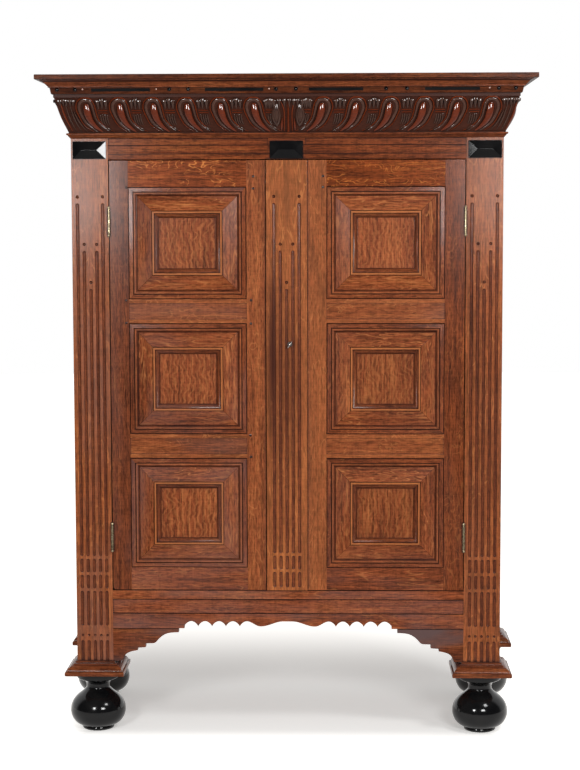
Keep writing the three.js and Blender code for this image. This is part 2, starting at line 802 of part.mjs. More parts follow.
function leftMeetingStile() {
  const stile = doorStile([leftDoorEdge - leftDoorStile, leftDoorEdge], leftDoorEdge - leftDoorStile, 1);
  const bottom = doorTop - slideLength - fitGap;
  return stile.subtract(slideBar(slideX, bottom, doorTop + cutOverrun, fitGap));
}

function addDoor(name, side, hingeStile, meetingEdge, meetingStile) {
  const hingeEdge = side * doorEdge;
  const outerEdge = hingeEdge - side * hingeStile;
  const innerEdge = outerEdge - side * panelWidth;
  const left = Math.min(outerEdge, innerEdge);
  const right = Math.max(outerEdge, innerEdge);
  kas.add(piece(`${name}_door_hinge_stile`,
    toGeometry(doorStile([hingeEdge, outerEdge], outerEdge, side)), oak));
  kas.add(piece(`${name}_door_meeting_stile`,
    toGeometry(meetingStile(innerEdge, meetingEdge)), oak));
  for (const [railName, bottom, top] of doorRails) {
    kas.add(piece(`${name}_door_${railName}`, toGeometry(doorRail(left, right, bottom, top)), oak));
  }
  panelNames.forEach((panelName, row) => {
    const centreZ = railTop(row) + doorMiddleRail + panelHeight / 2;
    kas.add(piece(`${name}_door_${panelName}`, panelGeometry(), oak, (left + right) / 2, 0, centreZ));
  });
}

addDoor('left', -1, leftDoorStile, leftDoorEdge, leftMeetingStile);
addDoor('right', 1, rightDoorStile, rightDoorEdge, (innerEdge, meetingEdge) =>
  doorStile([meetingEdge, innerEdge], innerEdge, -1).subtract(keyHoleCutter()));

function centrePilasterGeometry() {
  const half = pilasterWidth / 2;
  const board = block(
    [pilasterX - half, pilasterX + half], [-pilasterThickness, 0], [doorBottom, doorTop]);
  const firstStop = doorBottom + centreBridgeRise;
  const stops = [firstStop, firstStop - bridgePitch];
  const flutes = fluteCutters(pilasterX, -pilasterThickness, stops, doorBottom + centreFluteEnd);
  return toGeometry(cutAll(board, [...flutes, keyHoleCutter()]));
}

kas.add(piece('centre_pilaster', centrePilasterGeometry(), oak));

// Hinges: the case half has the pin, two knuckles and the finials, the door half the middle
// knuckle. Both are built about the pin's axis, from the bottom of the lower finial.

const knuckleBottom = (hingeLength - knuckleLength) / 2;
const knuckleTop = knuckleBottom + knuckleLength;
const leafEnd = leafDepth + hingeProud;

function finialProfile(tip, inward) {
  const ball = finialShares.map(([r, h]) => [r * finialRadius, tip + inward * h * finialLength]);
  return [
    ...ball, [hingePinRadius, tip + inward * finialNeckShare * finialLength],
    [barrelRadius, tip + inward * finialLength],
  ];
}

function leafPlate(from, to, y0, z0, z1) {
  return block([from, to], [y0, leafEnd], [z0, z1]);
}

function hingeCaseHalf(side) {
  const profile = [
    ...finialProfile(0, 1), [barrelRadius, knuckleBottom - fitGap],
    [hingePinRadius, knuckleBottom - fitGap], [hingePinRadius, knuckleTop + fitGap],
    [barrelRadius, knuckleTop + fitGap], ...finialProfile(hingeLength, -1).reverse(),
  ];
  const outer = side * doorGap / 2;
  const inner = outer - side * leafThickness;
  return toGeometry(joinAll([
    toSolid(turned(profile, hingeSides)),
    leafPlate(outer, inner, hingeProud, finialLength, hingeLength - finialLength),
    block([outer, inner], [0, hingeProud + leafThickness], [finialLength, knuckleBottom - fitGap]),
    block([outer, inner], [0, hingeProud + leafThickness],
      [knuckleTop + fitGap, hingeLength - finialLength]),
  ]));
}

function hingeDoorHalf(side) {
  const bore = hingePinRadius + fitGap;
  const tube = turned([
    [bore, knuckleBottom], [barrelRadius, knuckleBottom], [barrelRadius, knuckleTop],
    [bore, knuckleTop], [bore, knuckleBottom],
  ], hingeSides);
  const outer = -side * doorGap / 2;
  const inner = outer + side * leafThickness;
  return toGeometry(joinAll([
    toSolid(tube),
    leafPlate(outer, inner, hingeProud, finialLength, hingeLength - finialLength),
    block([outer, inner], [bore + fitGap, hingeProud + leafThickness], [knuckleBottom, knuckleTop]),
  ]));
}

const hingeLevels = [
  ['upper', doorTop - hingeTopDrop - hingeLength / 2],
  ['lower', doorBottom + hingeBottomRise - hingeLength / 2],
];
for (const [name, side] of sides) {
  for (const [level, z] of hingeLevels) {
    kas.add(piece(`${name}_${level}_hinge_pin`,
      hingeCaseHalf(side), brass, side * hingeX, -hingeProud, z));
    kas.add(piece(`${name}_${level}_hinge_leaf`,
      hingeDoorHalf(side), brass, side * hingeX, -hingeProud, z));
  }
}

// Lock on the back of the right door. Its case is open towards the stile that it is fixed to.

const lockLeft = rightDoorEdge + lockSetback;
const boltBottom = keyZ + keyBitReach + keyBitGap;
const boltTop = boltBottom + boltHeight;
const boltFront = doorThickness + boltThickness;
const lockBack = doorThickness + lockDepth;

function lockCaseGeometry() {
  const ceiling = boltTop + fitGap;
  const box = block(
    [lockLeft, lockLeft + lockWidth], [doorThickness, lockBack],
    [keyZ - lockBelowKey, ceiling + lockWall]);
  const cavity = block(
    [lockLeft + lockWall, lockLeft + lockWidth - lockWall],
    [doorThickness - cutOverrun, lockBack - lockWall], [keyZ - lockBelowKey + lockWall, ceiling]);
  const slot = block(
    [lockLeft - cutOverrun, lockLeft + lockWall + cutOverrun],
    [boltFront - fitGap, boltFront + boltThickness + fitGap], [boltBottom - fitGap, ceiling]);
  return toGeometry(cutAll(box, [cavity, slot]));
}

function boltGeometry() {
  return toGeometry(block(
    [lockLeft, lockLeft + boltLength], [boltFront, boltFront + boltThickness],
    [boltBottom, boltTop]));
}

// The key lies along Y about its own axis, with its bow in front and its bit inside the lock.
function keyGeometry() {
  const bowCentre = -pilasterThickness - keyNeck - bowLength / 2;
  const tip = boltFront + boltThickness;
  const shank = sweep(
    ellipse(keyShankRadius, keyShankRadius, keySides), 'y', bowCentre + bowLength / 2 - bowBar / 2, tip);
  const collar = sweep(
    ellipse(keyCollarRadius, keyCollarRadius, keySides), 'y',
    -pilasterThickness - keyNeck / 2, -pilasterThickness - fitGap);
  const bit = block(
    [-keyBitThickness / 2, keyBitThickness / 2], [boltFront, tip], [-keyBitReach, 0]);
  const rim = ellipse(bowLength / 2, bowHeight / 2, bowSides).map(([u, v]) => [u + bowCentre, v]);
  const eye = ellipse(bowLength / 2 - bowBar, bowHeight / 2 - bowBar, bowSides)
    .map(([u, v]) => [u + bowCentre, v]);
  const bow = sweep(rim, 'x', -bowThickness / 2, bowThickness / 2, eye);
  return toGeometry(joinAll([shank, collar, bit, bow]));
}

kas.add(piece('lock_case', lockCaseGeometry(), iron));
kas.add(piece('lock_bolt', boltGeometry(), iron));
const key = piece('key', keyGeometry(), steel, keyX, 0, keyZ);
key.rotation.y = keyTilt;
kas.add(key);

// Sliding bolt of the left door, which slides up behind the frieze rail

function slideGeometry() {
  const bottom = doorTop - slideLength;
  const knobZ = bottom + slideKnobRise;
  const knob = ellipse(slideKnobRadius, slideKnobRadius, keySides).map(([u, v]) => [slideX + u, knobZ + v]);
  const bar = slideBar(slideX, bottom, doorTop - fitGap, 0);
  return toGeometry(bar.add(sweep(
    knob, 'y', doorThickness - slideThickness / 2, doorThickness + slideKnobLength)));
}

kas.add(piece('left_door_bolt', slideGeometry(), iron));

export default kas;
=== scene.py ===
import math

import bmesh
import bpy
from mathutils import Matrix, Vector


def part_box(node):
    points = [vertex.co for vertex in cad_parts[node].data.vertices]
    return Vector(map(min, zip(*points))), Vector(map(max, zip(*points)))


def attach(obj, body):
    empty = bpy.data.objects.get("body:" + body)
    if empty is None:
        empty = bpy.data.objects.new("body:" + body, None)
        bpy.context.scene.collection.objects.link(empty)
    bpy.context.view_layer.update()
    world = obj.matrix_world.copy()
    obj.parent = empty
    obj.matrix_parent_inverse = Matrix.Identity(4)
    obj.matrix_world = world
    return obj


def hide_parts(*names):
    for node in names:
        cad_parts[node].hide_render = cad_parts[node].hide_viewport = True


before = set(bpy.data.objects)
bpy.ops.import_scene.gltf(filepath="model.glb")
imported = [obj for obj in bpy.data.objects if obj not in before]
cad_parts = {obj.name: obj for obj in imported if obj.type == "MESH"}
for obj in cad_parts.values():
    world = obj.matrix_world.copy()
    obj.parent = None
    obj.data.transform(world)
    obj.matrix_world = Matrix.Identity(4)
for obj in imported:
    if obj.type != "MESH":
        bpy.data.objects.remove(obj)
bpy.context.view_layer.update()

print("frame loaded with", len(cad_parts), "nodes")

# Lengths are in metres. The front, the back and the levels come from the frame.
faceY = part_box("corner_stile_left")[0].y
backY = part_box("back_boards")[1].y
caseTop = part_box("corner_stile_left")[1].z
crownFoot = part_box("crown_front")[0].z
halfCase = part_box("corner_stile_right")[1].x
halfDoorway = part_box("corner_stile_right")[0].x
overrun = 0.02  # how far a cutter stands out of what it cuts

carcase = "case"
doorBodies = {"left": "left_door", "right": "right_door"}


# Modelling helpers

def clearSelection():
    if bpy.context.object and bpy.context.object.mode != "OBJECT":
        bpy.ops.object.mode_set(mode="OBJECT")
    bpy.ops.object.select_all(action="DESELECT")


def selectOnly(*pieces):
    clearSelection()
    for piece in pieces:
        piece.select_set(True)
    bpy.context.view_layer.objects.active = pieces[0]


def named(name):
    piece = bpy.context.object
    piece.name = name
    piece.data.name = name
    return piece


def startEdit(piece):
    selectOnly(piece)
    bpy.ops.object.mode_set(mode="EDIT")
    bpy.ops.mesh.select_mode(type="FACE")
    bpy.ops.mesh.select_all(action="DESELECT")


def endEdit():
    bpy.ops.object.mode_set(mode="OBJECT")


def selectFaces(piece, test):
    bpy.ops.mesh.select_mode(type="FACE")
    bpy.ops.mesh.select_all(action="DESELECT")
    mesh = bmesh.from_edit_mesh(piece.data)
    for face in mesh.faces:
        if test(face.calc_center_median(), face.normal):
            face.select_set(True)
    bmesh.update_edit_mesh(piece.data)


def selectPoints(piece, test):
    bpy.ops.mesh.select_mode(type="VERT")
    bpy.ops.mesh.select_all(action="DESELECT")
    mesh = bmesh.from_edit_mesh(piece.data)
    for point in mesh.verts:
        if test(point.co):
            point.select_set(True)
    mesh.select_flush(True)
    bmesh.update_edit_mesh(piece.data)


def selectEdges(piece, test):
    bpy.ops.mesh.select_mode(type="EDGE")
    bpy.ops.mesh.select_all(action="DESELECT")
    mesh = bmesh.from_edit_mesh(piece.data)
    for edge in mesh.edges:
        if test(edge.verts[1].co - edge.verts[0].co):
            edge.select_set(True)
    bmesh.update_edit_mesh(piece.data)


def paintFaces(piece, slotIndex, test):
    for face in piece.data.polygons:
        if test(face.center, face.normal):
            face.material_index = slotIndex


def evenNormals(piece):
    startEdit(piece)
    bpy.ops.mesh.select_all(action="SELECT")
    bpy.ops.mesh.remove_doubles(threshold=0.00001)
    bpy.ops.mesh.normals_make_consistent(inside=False)
    endEdit()


def settle(piece):
    selectOnly(piece)
    bpy.ops.object.transform_apply(location=True, rotation=True, scale=True)
    return piece


def addBox(name, low, high):
    clearSelection()
    middle = [(a + b) / 2 for a, b in zip(low, high)]
    size = [abs(b - a) for a, b in zip(low, high)]
    bpy.ops.mesh.primitive_cube_add(size=1, location=middle, scale=size)
    return settle(named(name))


def copyPiece(piece, name, move=(0, 0, 0), mirror=False):
    selectOnly(piece)
    bpy.ops.object.duplicate(linked=False)
    copied = named(name)
    copied.location = move
    if mirror:
        copied.scale = (-1, 1, 1)
    settle(copied)
    if mirror:
        evenNormals(copied)
    return copied


def joinPieces(name, pieces):
    selectOnly(*pieces)
    bpy.ops.object.join()
    return named(name)


def deletePiece(piece):
    selectOnly(piece)
    bpy.ops.object.delete()


def bevelEdges(piece, width):
    selectOnly(piece)
    bevel = piece.modifiers.new("Worn edges", "BEVEL")
    bevel.width = width
    bevel.segments = 2
    bevel.limit_method = "ANGLE"
    bevel.angle_limit = math.radians(40)
    bevel.use_clamp_overlap = True
    bpy.ops.object.modifier_apply(modifier=bevel.name)


# Smooth shading that keeps large flat faces flat, and edges sharper than an angle
def smooth(piece, angle):
    selectOnly(piece)
    bpy.ops.object.shade_smooth_by_angle(angle=math.radians(angle))
    weighted = piece.modifiers.new("Even shading", "WEIGHTED_NORMAL")
    weighted.keep_sharp = True
    bpy.ops.object.modifier_apply(modifier=weighted.name)


def cutWith(piece, cutter):
    selectOnly(piece)
    cut = piece.modifiers.new("Cut", "BOOLEAN")
    cut.operation = "DIFFERENCE"
    cut.solver = "EXACT"
    cut.object = cutter
    bpy.ops.object.modifier_apply(modifier=cut.name)
    deletePiece(cutter)


def sliceOff(piece, point, normal):
    startEdit(piece)
    bpy.ops.mesh.select_all(action="SELECT")
    bpy.ops.mesh.bisect(plane_co=point, plane_no=normal, use_fill=True, clear_outer=True)
    endEdit()


# A round piece grown upwards from a disc: each step is a radius and a height
def turnPiece(name, centre, profile, sides):
    clearSelection()
    x, y, z = centre
    radius, height = profile[0]
    bpy.ops.mesh.primitive_circle_add(
        vertices=sides, radius=radius, fill_type="NGON", location=(x, y, z + height))
    piece = settle(named(name))
    startEdit(piece)
    bpy.ops.mesh.select_all(action="SELECT")
    for nextRadius, nextHeight in profile[1:]:
        grow = nextRadius / radius
        bpy.ops.mesh.extrude_region_move(
            TRANSFORM_OT_translate={"value": (0, 0, nextHeight - height)})
        bpy.ops.transform.resize(
            value=(grow, grow, 1), center_override=(x, y, z + nextHeight))
        radius, height = nextRadius, nextHeight
    bpy.ops.mesh.select_all(action="SELECT")
    bpy.ops.mesh.normals_make_consistent(inside=False)
    endEdit()
    return piece


# A block whose four sides are stepped upwards: each step moves the sides out and the top up.
# A fixed back keeps its place while the other three sides move.
def stepPiece(name, low, high, steps, fixedBack=False):
    clearSelection()
    left, front, foot = low
    right, back = high
    centreX = (left + right) / 2
    out, height = steps[0]
    width = right - left + 2 * out
    depth = back - front + (out if fixedBack else 2 * out)
    centreY = (front - out + back + (0 if fixedBack else out)) / 2
    bpy.ops.mesh.primitive_plane_add(size=1, location=(centreX, centreY, foot + height))
    piece = named(name)
    piece.scale = (width, depth, 1)
    settle(piece)
    startEdit(piece)
    bpy.ops.mesh.select_all(action="SELECT")
    holdY = back if fixedBack else (front + back) / 2
    for nextOut, nextHeight in steps[1:]:
        nextWidth = right - left + 2 * nextOut
        nextDepth = back - front + (nextOut if fixedBack else 2 * nextOut)
        bpy.ops.mesh.extrude_region_move(
            TRANSFORM_OT_translate={"value": (0, 0, nextHeight - height)})
        bpy.ops.transform.resize(
            value=(nextWidth / width, nextDepth / depth, 1),
            center_override=(centreX, holdY, foot + nextHeight))
        width, depth, height = nextWidth, nextDepth, nextHeight
    bpy.ops.mesh.select_all(action="SELECT")
    bpy.ops.mesh.normals_make_consistent(inside=False)
    endEdit()
    return piece


# A small turned piece that stands out of the front
def turnButton(name, profile, place, lean=0.0, sides=16):
    button = turnPiece(name, (0, 0, 0), profile, sides)
    button.rotation_euler = (math.pi / 2 + lean, 0, 0)
    button.location = place
    settle(button)
    smooth(button, 50)
    return button


# A board sawn to an outline of places across and up, from a flat curve with a thickness
def sawBoard(name, outline, front, back):
    clearSelection()
    bpy.ops.curve.primitive_bezier_circle_add(location=(0, 0, 0))
    board = bpy.context.object
    curve = board.data
    curve.dimensions = "2D"
    curve.fill_mode = "BOTH"
    curve.extrude = (back - front) / 2
    curve.splines.clear()
    line = curve.splines.new("POLY")
    line.points.add(len(outline) - 1)
    for point, (x, z) in zip(line.points, outline):
        point.co = (x, z, 0, 1)
    line.use_cyclic_u = True
    bpy.ops.object.convert(target="MESH")
    board = named(name)
    board.rotation_euler = (math.pi / 2, 0, 0)
    board.location = (0, (front + back) / 2, 0)
    settle(board)
    evenNormals(board)
    return board


# A smooth run through a few points, for profiles and for the paths of the carving
def easedRun(points, steps):
    run = []
    last = len(points) - 1
    for i in range(last):
        before = points[max(i - 1, 0)]
        start, end = points[i], points[i + 1]
        after = points[min(i + 2, last)]
        for step in range(steps):
            t = step / steps
            run.append(tuple(
                0.5 * (2 * b + (c - a) * t + (2 * a - 5 * b + 4 * c - d) * t * t
                       + (3 * b - a - 3 * c + d) * t ** 3)
                for a, b, c, d in zip(before, start, end, after)))
    run.append(tuple(points[last]))
    return run


# A carved stem: a disc drawn along a path in the plane of the carving, with its own thickness at
# each point. A point is a place across, a place up, a radius and, if given, how far it stands out.
def carveStem(name, points, steps, sides, lift):
    path = easedRun([(*point, 0.0)[:4] for point in points], steps)
    clearSelection()
    x, z, radius, out = path[0]

    def heading(i):
        ahead = path[min(i + 1, len(path) - 1)]
        behind = path[max(i - 1, 0)]
        return math.atan2(ahead[1] - behind[1], ahead[0] - behind[0])

    direction = heading(0)
    bpy.ops.mesh.primitive_circle_add(
        vertices=sides, radius=radius, fill_type="NGON", location=(x, -out, z),
        rotation=(0, math.pi / 2 - direction, 0))
    piece = settle(named(name))
    startEdit(piece)
    bpy.ops.mesh.select_all(action="SELECT")
    for i in range(1, len(path)):
        nextX, nextZ, nextRadius, nextOut = path[i]
        nextDirection = heading(i)
        centre = (nextX, -nextOut, nextZ)
        bpy.ops.mesh.extrude_region_move(
            TRANSFORM_OT_translate={"value": (nextX - x, out - nextOut, nextZ - z)})
        bpy.ops.transform.rotate(
            value=nextDirection - direction, orient_axis="Y", center_override=centre)
        grow = nextRadius / radius
        bpy.ops.transform.resize(value=(grow, grow, grow), center_override=centre)
        x, z, radius, out, direction = nextX, nextZ, nextRadius, nextOut, nextDirection
    bpy.ops.mesh.select_all(action="SELECT")
    bpy.ops.transform.resize(value=(1, lift, 1), center_override=(0, 0, 0))
    bpy.ops.mesh.normals_make_consistent(inside=False)
    endEdit()
    return piece


# Materials

def nodeTools(tree):
    def add(kind, **settings):
        node = tree.nodes.new(kind)
        for key, value in settings.items():
            setattr(node, key, value)
        return node

    def wire(source, target):
        tree.links.new(source, target)

    return add, wire


def mathNode(add, wire, operation, a, b=None, clamp=False):
    node = add("ShaderNodeMath", operation=operation, use_clamp=clamp)
    for socket, value in zip(node.inputs, (a, b)):
        if value is None:
            continue
        if isinstance(value, (int, float)):
            socket.default_value = value
        else:
            wire(value, socket)
    return node.outputs[0]


def rampNode(add, wire, factor, low, high, fromValue=0.0, toValue=1.0, eased=True):
    node = add("ShaderNodeMapRange", interpolation_type="SMOOTHSTEP" if eased else "LINEAR")
    wire(factor, node.inputs["Value"])
    node.inputs["From Min"].default_value = low
    node.inputs["From Max"].default_value = high
    node.inputs["To Min"].default_value = fromValue
    node.inputs["To Max"].default_value = toValue
    return node.outputs["Result"]


def mapNode(add, wire, place, scale=(1, 1, 1), turn=(0, 0, 0), move=(0, 0, 0)):
    node = add("ShaderNodeMapping")
    wire(place, node.inputs["Vector"])
    node.inputs["Scale"].default_value = scale
    node.inputs["Rotation"].default_value = turn
    node.inputs["Location"].default_value = move
    return node.outputs["Vector"]


# A noise of a place that is first squeezed along each axis and moved
def noiseNode(add, wire, place, squeeze, detail, rough=0.5, twist=0.0, move=(0, 0, 0)):
    node = add("ShaderNodeTexNoise")
    wire(mapNode(add, wire, place, squeeze, move=move), node.inputs["Vector"])
    node.inputs["Scale"].default_value = 1.0
    node.inputs["Detail"].default_value = detail
    node.inputs["Roughness"].default_value = rough
    node.inputs["Distortion"].default_value = twist
    return node.outputs["Fac"]


def blendNode(add, wire, factor, first, second, mode="MIX"):
    node = add("ShaderNodeMix", data_type="RGBA", blend_type=mode)
    for socket, value in ((node.inputs[0], factor), (node.inputs[6], first), (node.inputs[7], second)):
        if isinstance(value, (int, float)):
            socket.default_value = value
        elif isinstance(value, tuple):
            socket.default_value = (*value, 1)
        else:
            wire(value, socket)
    return node.outputs[2]


# How open a place is to the room, from 0 in a corner to 1
def opennessNode(add, reach):
    node = add("ShaderNodeAmbientOcclusion", samples=6)
    node.inputs["Distance"].default_value = reach
    return node.outputs["AO"]


def roughen(add, wire, shader, height, strength, distance):
    bump = add("ShaderNodeBump")
    bump.inputs["Strength"].default_value = strength
    bump.inputs["Distance"].default_value = distance
    wire(height, bump.inputs["Height"])
    wire(bump.outputs["Normal"], shader.inputs["Normal"])


def polish(shader, specular, coat, coatRoughness):
    shader.inputs["Specular IOR Level"].default_value = specular
    shader.inputs["Coat Weight"].default_value = coat
    shader.inputs["Coat Roughness"].default_value = coatRoughness


def newMaterial(name):
    material = bpy.data.materials.new(name)
    material.use_nodes = True
    tree = material.node_tree
    shader = tree.nodes["Principled BSDF"]
    return material, tree, shader


oakSettings = {
    "deep": (0.096, 0.0248, 0.0108),
    "ground": (0.226, 0.0555, 0.0188),
    "light": (0.345, 0.103, 0.0320),
    "fleck": (0.52, 0.188, 0.060),
    "dustAndSheen": (0.155, 0.092, 0.086),
    "wax": (0.075, 0.034, 0.032),
    "dirtAndShade": (0.014, 0.006, 0.005),
    "hands": (0.048, 0.0135, 0.0085),
    "warmth": (1.15, 0.97, 0.6),
    "grainTurns": {"x": (0, 0, 0), "y": (0, 0, math.pi / 2), "z": (0, math.pi / 2, 0)},
    "seedStep": (1.37, 0.73, 2.11),
    "relief": (0.4, 0.0006), "polish": (0.03, 0.17),
}

# Noises of the oak: how they are squeezed along and across the grain, their detail, their
# roughness, their twist and their move
oakNoises = {
    "wavering": ((2.2, 9, 9), 2),
    "streaks": ((5, 105, 105), 4, 0.68),
    "grain": ((16, 330, 330), 3, 0.7),
    "pores": ((34, 900, 900), 3, 0.65),
    "lines": ((42, 230, 230), 2, 0.6),
    "ripple": ((170, 16, 16), 3, 0.6, 0.4),
    "clouds": ((1.6, 5, 5), 3, 0.6),
    "patches": ((9, 22, 22), 2, 0.5, 0.0, (3.1, 0.7, 1.9)),
    "sway": ((17, 11, 11), 3, 0.5, 0.0, (5.2, 1.1, 2.7)),
}

# Where a ramp starts and ends on what it reads and, where they aren't 0 and 1, its two values
oakRamps = {
    "ground": (0.44, 0.70), "light": (0.66, 0.94),
    "tints": {"grain": (0.32, 0.68, 0.7, 1.27), "pores": (0.3, 0.46, 0.6, 1.0),
              "lines": (0.36, 0.54, 0.6, 1.06), "ripple": (0.35, 0.65, 0.91, 1.09)},
    "fleckEdge": (0.15, 0.0), "fleckPatches": (0.42, 0.58), "fleckBreaks": (0.3, 0.6, 0.5, 1.0),
    "crestEdge": (0.32, 0.02), "crestBreaks": (0.3, 0.7, 0.35, 1.0), "dustAndSheen": (0.4, 0.66),
    "wax": (0.5, 0.95, 0.8, 0.0), "waxBreaks": (0.3, 0.7, 0.6, 1.0), "shadeAndGrime": (0.3, 0.82, 0.85, 0.0),
    "roughness": (0.3, 0.7, 0.34, 0.5), "groove": (0.0028, 0.0006, 0.0, 0.75),
    "stain": (1.0, 0.1, 0.0),
}
oakFigure = {
    "streakShare": 0.8, "waveringShare": 0.55, "flameNoise": ((1, 1, 1), 2.5, 0.5, 0.7), "flameRings": 8.0,
    "crestCount": 55.0, "crestSway": 5.5, "waxReach": 0.03, "shadeAndGrimeReach": 0.009, "shadeAndGrimeRoughness": 0.25,
    "heightShare": 0.6,
}
oakInputs = ("Flecks", "Fleck length", "Fleck width", "Waves", "Dust and sheen", "Wax", "Depth", "Wear", "Warmth")


# Oak as one group of nodes: the grain runs along X of the place that it is given
def makeOakGroup():
    tree = bpy.data.node_groups.new("oak figure", "ShaderNodeTree")
    sockets = tree.interface
    sockets.new_socket("Place", in_out="INPUT", socket_type="NodeSocketVector")
    for name in oakInputs:
        sockets.new_socket(name, in_out="INPUT", socket_type="NodeSocketFloat")
    for name, kind in (("Color", "Color"), ("Roughness", "Float"), ("Height", "Float")):
        sockets.new_socket(name, in_out="OUTPUT", socket_type="NodeSocket" + kind)
    add, wire = nodeTools(tree)
    given = add("NodeGroupInput").outputs
    result = add("NodeGroupOutput").inputs
    place = given["Place"]
    noises = {name: noiseNode(add, wire, place, *settings) for name, settings in oakNoises.items()}

    def product(a, b, clamp=False):
        return mathNode(add, wire, "MULTIPLY", a, b, clamp)

    def ramp(factor, name):
        return rampNode(add, wire, factor, *oakRamps[name])

    streaks = product(noises["streaks"], oakFigure["streakShare"])
    tone = mathNode(add, wire, "ADD", streaks, product(noises["wavering"], oakFigure["waveringShare"]))
    base = blendNode(add, wire, ramp(tone, "ground"), oakSettings["deep"], oakSettings["ground"])
    base = blendNode(add, wire, ramp(tone, "light"), base, oakSettings["light"])
    for name, span in oakRamps["tints"].items():
        base = blendNode(add, wire, 1.0, base, rampNode(add, wire, noises[name], *span), "MULTIPLY")
    # Flecks are the level lines of a twisted noise, in patches and broken by the grain
    stretch = add("ShaderNodeCombineXYZ")
    wire(given["Fleck length"], stretch.inputs["X"])
    wire(given["Fleck width"], stretch.inputs["Y"])
    wire(given["Fleck width"], stretch.inputs["Z"])
    stretched = add("ShaderNodeVectorMath", operation="MULTIPLY")
    wire(place, stretched.inputs[0])
    wire(stretch.outputs[0], stretched.inputs[1])
    flameField = noiseNode(add, wire, stretched.outputs[0], *oakFigure["flameNoise"])
    rings = mathNode(add, wire, "PINGPONG", product(flameField, oakFigure["flameRings"]), 0.5)
    flecks = product(ramp(rings, "fleckEdge"), ramp(noises["patches"], "fleckPatches"))
    flecks = product(flecks, ramp(noises["grain"], "fleckBreaks"))
    base = blendNode(add, wire, product(flecks, given["Flecks"], True), base, oakSettings["fleck"])
    # Wavy figure of a board cut on the quarter: level lines across the grain, swayed by a noise
    across = add("ShaderNodeSeparateXYZ")
    wire(place, across.inputs[0])
    phase = mathNode(add, wire, "ADD", product(across.outputs["Z"], oakFigure["crestCount"]),
                     product(noises["sway"], oakFigure["crestSway"]))
    crests = ramp(mathNode(add, wire, "PINGPONG", phase, 0.5), "crestEdge")
    crests = product(crests, ramp(noises["streaks"], "crestBreaks"))
    base = blendNode(add, wire, product(crests, given["Waves"], True), base, oakSettings["fleck"])
    # A grey film in clouds, dust and a painted sheen, the wear of years and the warmth of the varnish
    dustAndSheen = product(ramp(noises["clouds"], "dustAndSheen"), given["Dust and sheen"], True)
    base = blendNode(add, wire, dustAndSheen, base, oakSettings["dustAndSheen"])
    base = blendNode(add, wire, given["Wear"], base, oakSettings["fleck"])
    base = blendNode(add, wire, given["Warmth"], base, oakSettings["warmth"], "MULTIPLY")
    # Old wax lies grey in the corners, and at their very bottom they are darkened, a painted shade with dirt
    wax = product(ramp(opennessNode(add, oakFigure["waxReach"]), "wax"),
                  ramp(noises["streaks"], "waxBreaks"))
    base = blendNode(add, wire, product(wax, given["Wax"]), base, oakSettings["wax"])
    shadeAndGrime = ramp(opennessNode(add, oakFigure["shadeAndGrimeReach"]), "shadeAndGrime")
    base = blendNode(add, wire, shadeAndGrime, base, oakSettings["dirtAndShade"])
    left = mathNode(add, wire, "SUBTRACT", 1.0, given["Depth"])
    shade = add("ShaderNodeCombineColor")
    for channel in shade.inputs[:3]:
        wire(left, channel)
    wire(blendNode(add, wire, 1.0, base, shade.outputs[0], "MULTIPLY"), result["Color"])
    roughness = mathNode(add, wire, "ADD", ramp(noises["clouds"], "roughness"),
                         product(shadeAndGrime, oakFigure["shadeAndGrimeRoughness"]))
    wire(roughness, result["Roughness"])
    share = oakFigure["heightShare"]
    wire(mathNode(add, wire, "ADD", product(noises["grain"], share), product(noises["streaks"], share)),
         result["Height"])
    return tree


oakGroup = makeOakGroup()
oakCache = {}


# Oak with its grain along an axis. A seed picks the place in the log, and equal boards share a
# material. A stain is a place across and up, its half width and half height, and its strength.
def oak(grain, seed, flecks=0.5, length=9, width=26, waves=0.0, dustAndSheen=0.0, wax=1.0, depth=0.0,
        wear=0.0, warmth=0.0, gloss=0.2, stains=(), grooves=()):
    figures = (flecks, length, width, waves, dustAndSheen, wax, depth, wear, warmth)
    key = (grain, seed, figures, gloss, stains, grooves)
    if key in oakCache:
        return oakCache[key]
    material, tree, shader = newMaterial(f"oak {grain} {seed}")
    add, wire = nodeTools(tree)
    place = add("ShaderNodeTexCoord").outputs["Object"]
    moved = mapNode(add, wire, place, move=[seed * step for step in oakSettings["seedStep"]])
    board = add("ShaderNodeGroup")
    board.node_tree = oakGroup
    wire(mapNode(add, wire, moved, turn=oakSettings["grainTurns"][grain]), board.inputs["Place"])
    for name, value in zip(oakInputs, figures):
        board.inputs[name].default_value = value
    colour = board.outputs["Color"]
    # Darkened by hands
    for x, z, halfWidth, halfHeight, strength in stains:
        apart = add("ShaderNodeVectorMath", operation="LENGTH")
        wire(mapNode(add, wire, place, (1 / halfWidth, 0, 1 / halfHeight),
                     move=(-x / halfWidth, 0, -z / halfHeight)), apart.inputs[0])
        stained = rampNode(add, wire, apart.outputs["Value"], *oakRamps["stain"], strength)
        colour = blendNode(add, wire, stained, colour, oakSettings["hands"])
    # Dark lines along the board at given heights: painted shade of grooves
    for level in grooves:
        spread = add("ShaderNodeSeparateXYZ")
        wire(place, spread.inputs[0])
        apart = mathNode(add, wire, "SUBTRACT", spread.outputs["Z"], level)
        apart = mathNode(add, wire, "ABSOLUTE", apart)
        grooveShade = rampNode(add, wire, apart, *oakRamps["groove"])
        colour = blendNode(add, wire, grooveShade, colour, oakSettings["dirtAndShade"])
    wire(colour, shader.inputs["Base Color"])
    wire(board.outputs["Roughness"], shader.inputs["Roughness"])
    roughen(add, wire, shader, board.outputs["Height"], *oakSettings["relief"])
    specular, coatRoughness = oakSettings["polish"]
    polish(shader, specular, gloss, coatRoughness)
    oakCache[key] = material
    return material


blackSettings = {
    "noise": ((14, 14, 14), 4, 0.6), "rubbedAndShaded": (0.35, 0.8), "deep": (0.003, 0.003, 0.0035),
    "pale": (0.008, 0.0075, 0.0075), "rough": (0.3, 0.75), "roughSpan": 0.12, "coatRoughness": 0.05,
}


